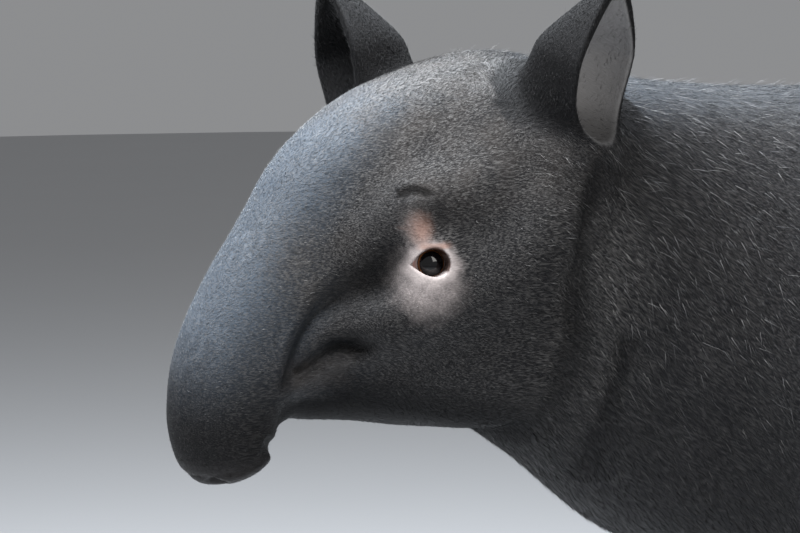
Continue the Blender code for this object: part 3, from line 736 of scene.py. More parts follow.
@dataclass
class Legs:
    """The four legs, with four toes on each forefoot and three on each hind foot."""

    stride: dict[str, float] = field(default_factory=lambda: {
        "front_left": -0.02, "front_right": 0.05, "rear_left": 0.05, "rear_right": -0.03})
    front: Rows = (
        (-0.205, 0.115, 0.68, 0.072, 0.118, 0.120),
        (-0.21, 0.138, 0.58, 0.076, 0.102, 0.112),
        (-0.20, 0.150, 0.50, 0.069, 0.084, 0.094),
        (-0.20, 0.152, 0.40, 0.056, 0.065, 0.069),
        (-0.21, 0.152, 0.29, 0.050, 0.055, 0.051),
        (-0.212, 0.152, 0.21, 0.042, 0.045, 0.045),
        (-0.218, 0.152, 0.13, 0.044, 0.046, 0.046),
        (-0.228, 0.152, 0.08, 0.051, 0.052, 0.048),
        (-0.236, 0.152, 0.048, 0.052, 0.052, 0.048),
    )
    rear: Rows = (
        (0.63, 0.105, 0.80, 0.085, 0.17, 0.145),
        (0.60, 0.125, 0.68, 0.088, 0.165, 0.14),
        (0.57, 0.135, 0.57, 0.084, 0.135, 0.130),
        (0.565, 0.138, 0.47, 0.069, 0.100, 0.100),
        (0.600, 0.138, 0.38, 0.054, 0.068, 0.070),
        (0.635, 0.138, 0.315, 0.047, 0.053, 0.056),
        (0.635, 0.138, 0.24, 0.041, 0.046, 0.045),
        (0.62, 0.138, 0.165, 0.040, 0.044, 0.042),
        (0.605, 0.138, 0.10, 0.045, 0.049, 0.043),
        (0.596, 0.138, 0.05, 0.048, 0.051, 0.045),
    )
    front_toes: Sequence[tuple[float, float]] = ((-35, 1.0), (0, 1.12), (35, 1.0), (84, 0.78))
    rear_toes: Sequence[tuple[float, float]] = ((-35, 0.98), (0, 1.12), (35, 0.98))
    toe_reach: float = 0.076
    toe_top: float = 0.070
    hoof_radii: Triple = (0.030, 0.0215, 0.028)

    def rows(self, name: str) -> list[tuple[float, ...]]:
        """The stations of one leg, from its top down, with its own stride.

        Args:
            name: The leg, such as front_left.

        Returns:
            Rows of a centre and three radii.
        """
        side = -1 if name.endswith("left") else 1
        stride = self.stride[name]
        rows = self.rear if name.startswith("rear") else self.front
        return [(x + stride * (1 - z / 0.8), side * y, z, half, front, back)
                for x, y, z, half, front, back in rows]

    def toes(self, name: str) -> list[tuple[Array, Array, float, float]]:
        """For each toe of a leg, its root, its way along the floor, its size and its lift.

        Args:
            name: The leg, such as front_left.

        Returns:
            One row for each toe, from the outer one inwards.
        """
        side = -1 if name.endswith("left") else 1
        foot = self.rows(name)[-1]
        root = ORIGIN + (foot[0] + 0.006, foot[1], 0)
        made = []
        for turn, size in (self.rear_toes if name.startswith("rear") else self.front_toes):
            angle = math.radians(turn) * side
            way = np.array([-math.cos(angle), math.sin(angle), 0])
            made.append((root, way, size, 0.010 if turn > 60 else 0.0))
        return made

    def forms(self) -> list[Form]:
        """The rounded forms of the legs, the pads and the toes.

        Returns:
            The forms of all four legs.
        """
        made: list[Form] = []
        for name in self.stride:
            rows = self.rows(name)
            x, y = rows[-1][:2]
            made.append(body_tube(rows, soften=0.05, caps=(0.05, 0.03)))
            made.append(Blob(ORIGIN + (x + 0.004, y, 0.022), (0.050, 0.046, 0.034), soften=0.02))
            for root, way, size, lift in self.toes(name):
                reach = self.toe_reach * (0.55 + 0.45 * size)
                stations = []
                for ahead, height, half, up, down in (
                    (0.012, 0.050, 0.027, 0.027, 0.027),
                    (reach * 0.62, 0.041, 0.0255, 0.023, 0.028),
                    (reach * 0.98, 0.027, 0.0215, 0.018, 0.021),
                ):
                    place = root + way * ahead + (0, 0, height + lift)
                    stations.append((*place, half * size, up * size, down * size))
                made.append(Tube(stations, np.cross(HEAD_UP, way), soften=0.012, caps=(0.02, 0.008)))
        return made

    def near_floor(self, p: Array) -> Array:
        """Whether each point is low enough to be on a toe."""
        return p[:, 2] < self.toe_top


@dataclass(frozen=True)
class Fold:
    """A fold of the face or neck on the left side: its path, its furrows and the painted shade along it."""

    path: Rows
    furrows: Sequence[tuple[float, float]]
    # Painted shade along the crease, each a radius and a strength.
    painted_shades: Sequence[tuple[float, float]]
    through: float = 0.3

    def stroke(self, side: Side, radius: float, height: float) -> Stroke:
        """One stroke along the fold."""
        return Stroke(head_path(self.path, side.value), radius, height, self.through)

    def strokes(self, side: Side) -> list[Stroke]:
        """The furrows that shape the skin, each with its radius and height."""
        return [self.stroke(side, radius, height) for radius, height in self.furrows]

    def painted_shade(self, p: Array) -> Array:
        """How much painted shade each point gets by lying in the fold, on either side.

        Args:
            p: Points on the skin.

        Returns:
            The painted shade, from 0 to 1.
        """
        dark = np.zeros(len(p))
        for side in Side:
            for radius, strength in self.painted_shades:
                line = self.stroke(side, radius, -strength)
                near = line.gap(p) <= 0
                if near.any():
                    dark[near] = np.maximum(dark[near], line.distance(p[near]))
        return dark


@dataclass
class Head:
    """The head with its short hanging trunk, lids and lips."""

    skull: Rows = (
        (-0.19, 0, 0.040, 0.095, 0.095, 0.125),
        (-0.13, 0, 0.042, 0.098, 0.112, 0.125),
        (-0.06, 0, 0.030, 0.091, 0.118, 0.110),
        (0.00, 0, 0.008, 0.077, 0.112, 0.085),
        (0.05, 0, -0.020, 0.060, 0.098, 0.068),
        (0.10, 0, -0.050, 0.050, 0.074, 0.055),
        (0.134, 0, -0.085, 0.047, 0.060, 0.046),
        (0.148, 0, -0.118, 0.045, 0.051, 0.047),
        (0.149, 0, -0.145, 0.042, 0.045, 0.045),
        (0.145, 0, -0.162, 0.037, 0.037, 0.041),
    )
    jaw: Rows = (
        (-0.130, 0, -0.080, 0.094, 0.06, 0.077),
        (-0.06, 0, -0.090, 0.084, 0.05, 0.070),
        (0.015, 0, -0.098, 0.058, 0.035, 0.049),
        (0.070, 0, -0.107, 0.040, 0.026, 0.032),
        (0.094, 0, -0.111, 0.031, 0.018, 0.023),
    )
    cheekbone: Rows = (
        (-0.15, 0.105, 0.055, 0.020, 0.020, 0.02),
        (-0.09, 0.106, 0.005, 0.020, 0.020, 0.02),
        (-0.03, 0.094, -0.030, 0.020, 0.020, 0.02),
        (0.035, 0.070, -0.050, 0.018, 0.018, 0.018),
    )
    brow: Rows = (
        (-0.05, 0.082, 0.055, 0.018, 0.018, 0.018),
        (0.0, 0.075, 0.045, 0.018, 0.018, 0.018),
        (0.04, 0.060, 0.020, 0.016, 0.016, 0.016),
    )
    upper_lip: Rows = (
        (0.02, 0.052, -0.055, 0.020, 0.028, 0.026),
        (0.07, 0.042, -0.066, 0.018, 0.026, 0.022),
        (0.115, 0.030, -0.088, 0.016, 0.022, 0.018),
    )
    # Each fold gives its path, its furrows as radius and height, and its painted shade as radius and
    # strength; the sixth, behind the brow crease, is painted shade alone.
    folds: Sequence[Fold] = (
        Fold(((0.107, 0.048, -0.085), (0.098, 0.052, -0.0790), (0.088, 0.055, -0.0720),
              (0.080, 0.058, -0.0680), (0.071, 0.061, -0.0662), (0.061, 0.063, -0.0668),
              (0.051, 0.066, -0.0705)),
             ((0.0150, -0.0035), (0.0060, -0.0045)), ((0.0040, 0.95), (0.015, 0.50))),
        Fold(((0.078, 0.059, -0.0680), (0.069, 0.061, -0.0670), (0.060, 0.064, -0.0680)),
             ((0.0090, -0.0045),), ((0.0080, 1.0),)),
        Fold(((0.036, 0.080, 0.000), (0.048, 0.070, -0.012), (0.062, 0.063, -0.023),
              (0.077, 0.058, -0.033)),
             ((0.024, -0.0035),), ((0.026, 0.50),)),
        Fold(((0.070, 0.060, -0.029), (0.087, 0.054, -0.038), (0.100, 0.051, -0.051),
              (0.110, 0.050, -0.066), (0.116, 0.047, -0.080), (0.120, 0.046, -0.093)),
             ((0.0140, -0.0045), (0.0060, -0.0030)), ((0.0060, 0.85), (0.018, 0.45))),
        Fold(((0.021, 0.083, 0.0550), (0.015, 0.086, 0.0580), (0.009, 0.088, 0.0580),
              (0.004, 0.091, 0.0555)),
             ((0.0065, -0.0030),), ((0.0034, 0.90), (0.010, 0.40))),
        Fold(((0.004, 0.092, 0.053), (-0.003, 0.098, 0.043), (-0.006, 0.100, 0.034)),
             (), ((0.011, 0.32),)),
        Fold(((-0.131, 0.133, -0.033), (-0.135, 0.130, -0.068), (-0.136, 0.112, -0.113),
              (-0.134, 0.084, -0.150)),
             ((0.032, -0.0055),), ((0.024, 0.45),)),
        Fold(((-0.150, 0.139, 0.069), (-0.144, 0.136, 0.043), (-0.135, 0.135, 0.010),
              (-0.131, 0.133, -0.033), (-0.135, 0.130, -0.060)),
             ((0.018, -0.0045), (0.0065, -0.0020)), ((0.0055, 0.80), (0.020, 0.40))),
        Fold(((-0.184, 0.144, -0.083), (-0.182, 0.128, -0.125), (-0.188, 0.105, -0.173),
              (-0.200, 0.084, -0.205)),
             ((0.018, -0.0040), (0.0060, -0.0020)), ((0.0050, 0.70), (0.016, 0.35))),
    )
    tip_fold: Rows = (
        (0.132, 0.037, -0.147), (0.116, 0.022, -0.153), (0.110, 0.0, -0.155),
        (0.116, -0.022, -0.153), (0.132, -0.037, -0.147))
    eye_facing: Triple = (0.40, 0.90, 0.12)
    eye_size: Triple = (0.0185, 0.0122, 0.0110)
    lid_hollow: float = EYE_RADIUS - 0.002
    nostril: tuple[float, ...] = (0.168, 0.0140, -0.181, 0.011, 0.0065, 0.010)
    nostril_tilt: float = -0.7
    lid_lines: Sequence[tuple[float, bool, float, float]] = (
        (0.0035, True, 0.0045, 0.0012), (0.0035, False, 0.0045, 0.0012),
        (0.0100, True, 0.0050, -0.0022), (0.0105, False, 0.0055, -0.0018),
        (0.0190, False, 0.0060, -0.0010), (0.0170, True, 0.0060, -0.0009))

    def forms(self) -> list[Form]:
        """The skull, jaw, cheeks and brows.

        Returns:
            The forms of the head.
        """
        made: list[Form] = [
            head_tube(self.skull, soften=0.055, caps=(0.06, 0.018), steps=18),
            head_tube(self.jaw, soften=0.028),
        ]
        for side in Side:
            flip = np.array([1, side.value, 1, 1, 1, 1])
            cheek = (-0.095, side.value * 0.062, -0.045)
            made += [
                head_blob(cheek, (0.095, 0.052, 0.100), soften=0.05),
                head_tube(np.array(self.cheekbone) * flip, soften=0.04),
                head_tube(np.array(self.brow) * flip, soften=0.04),
                head_tube(np.array(self.upper_lip) * flip, soften=0.025),
                Blob(self.eye(side), (EYE_RADIUS + 0.0055,) * 3, soften=0.03),
            ]
        return made

    def eye(self, side: Side) -> Array:
        """The middle of an eye."""
        front, left, up = EYE_PLACE
        return head_point(front, side.value * left, up)

    def opening(self, side: Side) -> EyeOpening:
        """The almond between the lids of one eye.

        Args:
            side: Which eye.

        Returns:
            The opening.
        """
        front, left, up = self.eye_facing
        facing = head_way(front, side.value * left, up)
        return EyeOpening(self.eye(side), facing, self.lid_hollow, *self.eye_size)

    def hollows(self) -> list[Form]:
        """The eye openings and the nostrils.

        Returns:
            What is cut out of the head.
        """
        front, left, up, *radii = self.nostril
        made: list[Form] = []
        for side in Side:
            made.append(self.opening(side))
            made.append(head_blob((front, side.value * left, up), radii, self.nostril_tilt, soften=0.006))
        return made

    def strokes(self) -> list[Stroke]:
        """The folds on both sides, the crease of the trunk's tip, and the rims and creases of the lids.

        Returns:
            The strokes of the head.
        """
        made = [Stroke(head_path(self.tip_fold), 0.010, -0.0045)]
        for side in Side:
            for fold in self.folds:
                made += fold.strokes(side)
            opening = self.opening(side)
            for grow, upper, radius, height in self.lid_lines:
                made.append(Stroke(opening.edge(grow, upper), radius, height))
        return made

    @staticmethod
    def near_mouth(p: Array) -> Array:
        """Whether each point is near the mouth's corner."""
        front, left, up = head_coordinates(p)
        return (np.abs(front - 0.088) < 0.045) & (np.abs(up + 0.072) < 0.040) & (np.abs(left) > 0.025)


@dataclass
class Ears:
    """The two cupped ears: the left one turned back, the right one forward."""

    length: float = 0.145
    width: float = 0.104
    depth: float = 0.060
    rim: float = 0.006
    wall: float = 0.007
    taper: tuple[float, float] = (0.55, 1.3)
    hollow_taper: tuple[float, float] = (0.90, 1.7)
    root: float = 0.030
    turn: dict[Side, float] = field(default_factory=lambda: {
        Side.LEFT: math.radians(107), Side.RIGHT: math.radians(22)})

    def place(self, side: Side) -> tuple[Array, Array, Array]:
        """The middle of an ear's opening, the way up it and the way that it faces.

        Args:
            side: Which ear.

        Returns:
            The middle and the two ways.
        """
        s = side.value
        middle = head_point(-0.121 - 0.039 * s, s * 0.132 + 0.006, 0.1545 + 0.0035 * s)
        way = head_way(0.0005 - 0.0065 * s, s * 0.023, 0.100)
        turn = self.turn[side]
        opening = head_way(math.cos(turn), s * math.sin(turn), 0)
        return middle, way, unit(opening - (opening @ way) * way)

    def forms(self) -> list[Form]:
        """The solid root and the cup of each ear.

        Returns:
            The forms of both ears.
        """
        made: list[Form] = []
        radii = (self.length / 2, self.width / 2, self.depth)
        for side in Side:
            middle, way, opening = self.place(side)
            base = middle - way * 0.055 - opening * self.root
            made.append(Tube([
                [*(base - way * 0.02), 0.048, 0.042, 0.042],
                [*(base + way * 0.026), 0.036, 0.034, 0.034],
            ], HEAD_LEFT))
            made.append(Leaf(middle - opening * self.rim, way, opening, radii, self.taper, self.rim))
        return made

    def hollow(self, side: Side) -> Leaf:
        """The hollow of one ear.

        Args:
            side: Which ear.

        Returns:
            What is cut out of it.
        """
        middle, way, opening = self.place(side)
        radii = np.array([self.length / 2, self.width / 2, self.depth]) - self.wall
        return Leaf(middle + opening * self.rim, way, opening, radii, self.hollow_taper, soften=0.004)

    def hollows(self) -> list[Form]:
        """The hollows of both ears."""
        return [self.hollow(side) for side in Side]

    def away(self, p: Array, side: Side) -> Array:
        """How far each point is from the middle of an ear's opening."""
        return np.linalg.norm(p - self.place(side)[0], axis=1)

    def near_rim(self, p: Array) -> Array:
        """Whether each point is at the edge of an ear's opening.

        Args:
            p: Points on the skin.

        Returns:
            True at each point that is.
        """
        near = np.zeros(len(p), bool)
        for side in Side:
            middle, way, opening = self.place(side)
            rel = p - middle
            near |= (np.abs(rel @ opening + 0.003) < 0.007) & (np.linalg.norm(rel, axis=1) < 0.085)
        return near

    def cup(self, p: Array, side: Side) -> tuple[Array, Array]:
        """How far each point is up an ear, and whether it is in its cup.

        Args:
            p: Points on the skin.
            side: Which ear.

        Returns:
            The height above the middle of the opening, and 1 in the cup and 0 outside.
        """
        middle, way, _ = self.place(side)
        rel = p - middle
        inside = ease(-self.hollow(side).distance(p), -0.0034, -0.0010)
        return rel @ way, inside * (np.linalg.norm(rel, axis=1) < 0.10)


def ripple(p: Array, size: float, seed: int) -> Array:
    """A smooth, uneven wave over space, from about -1 to 1.

    Args:
        p: The points.
        size: About how far apart its crests are.
        seed: Which wave.

    Returns:
        The wave's height at each point.
    """
    ways = np.random.default_rng(40 + seed).normal(size=(6, 3))
    turns = p @ (unit(ways) * 2 * math.pi / size).T + np.arange(6) * 1.7
    return np.sin(turns).sum(1) / 2.6


class Marks(dict[str, Array]):
    """The share of each marking at each point."""

    def __init__(self, count: int) -> None:
        """Starts a number of points off unmarked."""
        # Among these, the dark marking is painted shade and the bluish marking is a painted sheen.
        names = ("pale", "grey", "pink", "brown", "bare", "warm", "rim", "dark", "cool", "hoar", "ears")
        super().__init__({name: np.zeros(count) for name in names})

    def add(self, name: str, share: Array) -> None:
        """Raises a marking to a share wherever it is less."""
        self[name] = np.maximum(self[name], share)


@dataclass
class Coat:
    """How long, how dense and which way the hair is at any place, and its markings."""

    head: Head
    ears: Ears
    saddle_start: float = -0.075
    leg_top: float = 0.52
    face_start: float = -0.2
    cup_hair: float = 0.0065
    ear_hair: float = 0.0045
    cup_crowd: float = 30000

    def eye_gap(self, p: Array) -> Array:
        """The distance from each point to the nearer eye's middle."""
        gaps = [np.linalg.norm(p - self.head.eye(side), axis=1) for side in Side]
        return np.minimum(*gaps)

    def depth(self, p: Array) -> Array:
        """How far the skin lies inside the solids, for the coat to fill.

        Args:
            p: Points on the skin.

        Returns:
            The depth at each point.
        """
        front = head_coordinates(p)[0]
        deep = 0.0010 + 0.0020 * ease(-front, 0.06, 0.22)
        deep = deep * ease(p[:, 2], -0.02, 0.16)
        for side in Side:
            deep = deep * (0.15 + 0.85 * ease(self.ears.away(p, side), 0.070, 0.115))
        return deep * ease(self.eye_gap(p), 0.028, 0.050)

    def legs(self, p: Array) -> Array:
        """1 on the lower legs and 0 on the body."""
        return 1 - ease(p[:, 2], 0.34, self.leg_top)

    def lie(self, p: Array, normal: Array) -> Array:
        """The way that the hair lies, along the skin.

        Args:
            p: Points on the skin.
            normal: The skin's outward way at each point.

        Returns:
            One direction for each point.
        """
        front, left = head_coordinates(p)[:2]
        swing = ripple(p, 0.16, 1)[:, None]
        fall = 0.75 + 0.25 * swing + 0.9 * ease(ORIGIN[0] - p[:, 0], 0.20, 0.42)[:, None]
        body = np.array([1.0, 0, 0]) - fall * HEAD_UP
        face = -HEAD_FRONT - HEAD_UP * (0.35 + 0.3 * swing) * ease(np.abs(left), 0.02, 0.08)[:, None]
        down = np.array([0.12, 0, -1.0]) + 0.1 * swing * np.array([1.0, 0, 0])
        w = ease(front, -0.20, -0.10)[:, None]
        way = body * (1 - w) + face * w
        w = self.legs(p)[:, None]
        way = way * (1 - w) + down * w
        tail = ease(p[:, 0] - ORIGIN[0], 0.855, 0.885)[:, None]
        way = way * (1 - tail) + np.array([0.2, 0, -1.0]) * tail
        for side in Side:
            middle, along, opening = self.ears.place(side)
            rel = p - middle
            across = np.cross(along, opening)
            w = ease(rel @ along, -0.065, -0.030) * (np.linalg.norm(rel, axis=1) < 0.12)
            spread = np.clip(rel @ across / 0.05, -1, 1)[:, None] * across
            way = way * (1 - w[:, None]) + (along + 0.6 * spread) * w[:, None]
        flat = way - (way * normal).sum(1, keepdims=True) * normal
        return unit(flat)

    def saddle(self, p: Array) -> Array:
        """1 on the pale part of the back, flanks and belly.

        Args:
            p: Points on the skin.

        Returns:
            The share of pale coat at each point.
        """
        x, y, z = (p - ORIGIN).T
        uneven = 0.008 * ripple(p, 0.16, 2) + 0.003 * ripple(p, 0.03, 3)
        slant = 0.05 * (z - 0.72) - 0.04 * np.cos((z - 0.5) * 4) + 0.9 * np.maximum(0.54 - z, 0)
        front = ease(x - self.saddle_start - slant + uneven, -0.020, 0.020)
        hip = 0.606 - 0.024 * np.clip(y * 20, -1, 1)
        share = np.sqrt(((x - hip) / 0.195) ** 2 + ((z - 0.29) / 0.37) ** 2) + uneven * 2.0
        thigh = ease(share, 1.04, 0.94) * ease(np.abs(y), 0.02, 0.06)
        return front * (1 - thigh) * ease(z, 0.30, 0.36)

    def markings(self, p: Array) -> dict[str, Array]:
        """The share of each marking at each point.

        Args:
            p: Points on the skin.

        Returns:
            Each marking by its name, from 0 to 1.
        """
        marks = Marks(len(p))
        marks.add("pale", self.saddle(p) * (head_coordinates(p)[0] < self.face_start))
        # Painted shade along the folds of the face and neck.
        for fold in self.head.folds:
            marks.add("dark", fold.painted_shade(p))
        for side in Side:
            self.mark_ear(marks, p, side)
            self.mark_eye(marks, p, side)
        self.mark_face(marks, p)
        # The brown hair and the painted sheen are kept off the ears.
        ears = marks.pop("ears")
        for name in ("brown", "cool"):
            marks[name] = marks[name] * (1 - ears)
        return {name: np.clip(share, 0, 1) for name, share in marks.items()}

    def mark_ear(self, marks: Marks, p: Array, side: Side) -> None:
        """Marks one ear: painted shade on its back and low in its cup, its white tip, and its cup, which is
        grey in the left one and dark with painted shade in the right one.

        Args:
            marks: The markings so far.
            p: Points on the skin.
            side: Which ear.
        """
        height, cup = self.ears.cup(p, side)
        near = self.ears.away(p, side) < 0.10
        # The right ear's cup gets painted shade in place of the grey of its hair.
        grey, dark = (1.0, 0.0) if side is Side.LEFT else (0.0, 0.80)
        outside = near * (1 - cup) * ease(height, -0.066, -0.045)
        top = height + 0.002 * ripple(p, 0.012, 4)
        marks.add("grey", cup * grey)
        marks.add("ears", near * ease(height, -0.075, -0.055))
        # Painted shade on the back of the ear, in the right ear's cup and low in each cup.
        marks.add("dark", 0.62 * outside)
        marks.add("dark", cup * dark)
        marks.add("dark", cup * ease(height, -0.035, -0.065) * 0.6)
        marks.add("pale", 0.85 * near * ease(top, 0.056, 0.064))

    def mark_eye(self, marks: Marks, p: Array, side: Side) -> None:
        """Marks the lids of one eye and the pink skin round them.

        Args:
            marks: The markings so far.
            p: Points on the skin.
            side: Which eye.
        """
        opening = self.head.opening(side)
        rel = p - opening.centre
        h, v = -(rel @ opening.across), rel @ opening.rise_axis
        ahead = rel @ opening.facing > 0
        uneven = 0.04 * ripple(p, 0.014, 5) + 0.03 * ripple(p, 0.006, 8)
        core = np.hypot((h - 0.004) / 0.0245, (v + 0.002) / 0.0205) + uneven
        cloud = np.hypot((h - 0.007) / 0.034, (v + 0.014) / 0.038) + 1.5 * uneven
        streak = np.hypot((h - 0.012 - 0.2 * (v - 0.02)) / 0.012, (v - 0.024) / 0.020) + uneven
        for share, gap, none, full in ((0.95, core, 1.25, 0.65), (0.62, cloud, 1.15, 0.25),
                                       (0.38, streak, 1.4, 0.2)):
            marks.add("pink", ahead * share * ease(gap, none, full))
        marks.add("bare", ahead * ease(core, 1.10, 0.80))
        spot = np.hypot((h - 0.010) / 0.011, (v - 0.029) / 0.014) + uneven
        crease = ease(v, 0.011, 0.013) * ease(v, 0.018, 0.015) * ease(np.abs(h), 0.018, 0.008)
        marks.add("warm", ahead * np.maximum(0.55 * ease(spot, 1.4, 0.1), 0.55 * crease))
        edge = ease(opening.distance(p), 0.0018, 0.0006)
        edge = edge * np.maximum(ease(v, 0.002, 0.008), 0.9 * ease(h, -0.0075, -0.0105))
        marks.add("rim", ahead * edge)

    def mark_face(self, marks: Marks, p: Array) -> None:
        """Marks the lips, the trunk, the brow, the forehead and the white tips of the hair, a bluish painted
        sheen on the trunk, forehead and neck top, and painted shade on the throat, below the chin and low on
        the trunk.

        Args:
            marks: The markings, with those of the ears and the eyes.
            p: Points on the skin.
        """
        front, left, up = head_coordinates(p)
        lips = ease(np.abs(up + 0.088), 0.022, 0.010) * ease(front, 0.05, 0.075) * ease(front, 0.136, 0.124)
        tip = ease(up, -0.148, -0.170) * ease(front, 0.09, 0.12)
        marks.add("bare", np.maximum(0.25 * lips, 0.7 * tip))
        mottle = 0.6 + 0.4 * ripple(p, 0.03, 6)
        brow = ease(up, 0.015, 0.075) * ease(front, -0.17, -0.10) * ease(front, 0.06, 0.00)
        snout = np.hypot((front - 0.088) / 0.040, (up + 0.002) / 0.042)
        marks.add("brown", np.maximum(0.8 * brow, 0.7 * ease(snout, 1.3, 0.4)) * mottle)
        marks.add("brown", 0.8 * ease(np.abs(up + 0.090), 0.020, 0.004)
                  * ease(np.abs(front - 0.085), 0.045, 0.02))
        # A bluish painted sheen along the top and front of the trunk and forehead, and on the top of the
        # neck behind the head.
        marks.add("cool", ease(np.abs(left), 0.062, 0.028) * ease(front, -0.06, 0.02)
                  * ease(up, -0.14, -0.03))
        marks.add("cool", 0.55 * ease(up, 0.085, 0.150) * ease(front, -0.12, -0.20) * (1 - marks["pale"]))
        # Painted shade on the throat below the jaw and chin, and low on the trunk.
        below = up + 0.090 - 0.25 * np.minimum(front - 0.05, 0)
        under = ease(below, 0.010, -0.035) * ease(front, -0.17, -0.12) * ease(front, 0.090, 0.055)
        chin = ease(up, -0.108, -0.120) * (front > 0.05) * (front < 0.115)
        marks.add("dark", 0.90 * np.maximum(under, chin))
        marks.add("dark", 0.45 * ease(up, -0.07, -0.14) * ease(front, 0.09, 0.12))
        hoar = 0.30 + 0.25 * ease(front, -0.24, -0.14) + 0.25 * brow + 0.30 * ease(snout, 1.4, 0.3)
        hoar = np.maximum(hoar, 0.9 * ease(self.eye_gap(p), 0.060, 0.030))
        cheek = ease(np.abs(front + 0.150), 0.060, 0.020) * ease(np.abs(up + 0.06), 0.13, 0.06)
        hoar = hoar + 0.50 * cheek * (0.6 + 0.4 * mottle) - 0.25 * self.legs(p)
        # The white hair tips fade where shade is painted and on the ears.
        marks["hoar"] = hoar * (1 - 0.85 * marks["dark"]) * (1 - 0.5 * marks["ears"])

    def reach(self, p: Array) -> Array:
        """The length of the hair in metres.

        Args:
            p: Points on the skin.

        Returns:
            The length at each point.
        """
        front = head_coordinates(p)[0]
        length = 0.0115 - 0.0070 * ease(front, -0.22, -0.05)
        length = length - 0.0010 * ease(front, 0.06, 0.14)
        length = length * (1 - 0.30 * self.legs(p)) * (0.35 + 0.65 * ease(p[:, 2], 0.015, 0.16))
        for side in Side:
            height, cup = self.ears.cup(p, side)
            length = np.where(cup > 0.3, self.cup_hair, length)
            near = self.ears.away(p, side) < 0.085
            length = np.where(near & (cup <= 0.3) & (height > -0.03), self.ear_hair, length)
        return length * (0.45 + 0.55 * ease(self.eye_gap(p), 0.030, 0.060))

    def crowd(self, p: Array, marks: dict[str, Array]) -> Array:
        """The number of tufts to a square metre.

        Args:
            p: Points on the skin.
            marks: The markings at each point.

        Returns:
            The number at each point.
        """
        front = head_coordinates(p)[0]
        number = 72000 + 240000 * ease(front, -0.24, -0.08)
        number = number - 16000 * marks["pale"] * (front < self.face_start)
        number = np.where(marks["grey"] > 0.3, self.cup_crowd, number)
        number = number * (1 - 0.97 * marks["bare"]) * ease(self.eye_gap(p), 0.0265, 0.036)
        # Fewer tufts on the face where the painted shade is deepest.
        number = number * (1 - 0.9 * ease(marks["dark"], 0.76, 0.95) * (front > -0.15))
        return number * (p[:, 2] > 0.007)


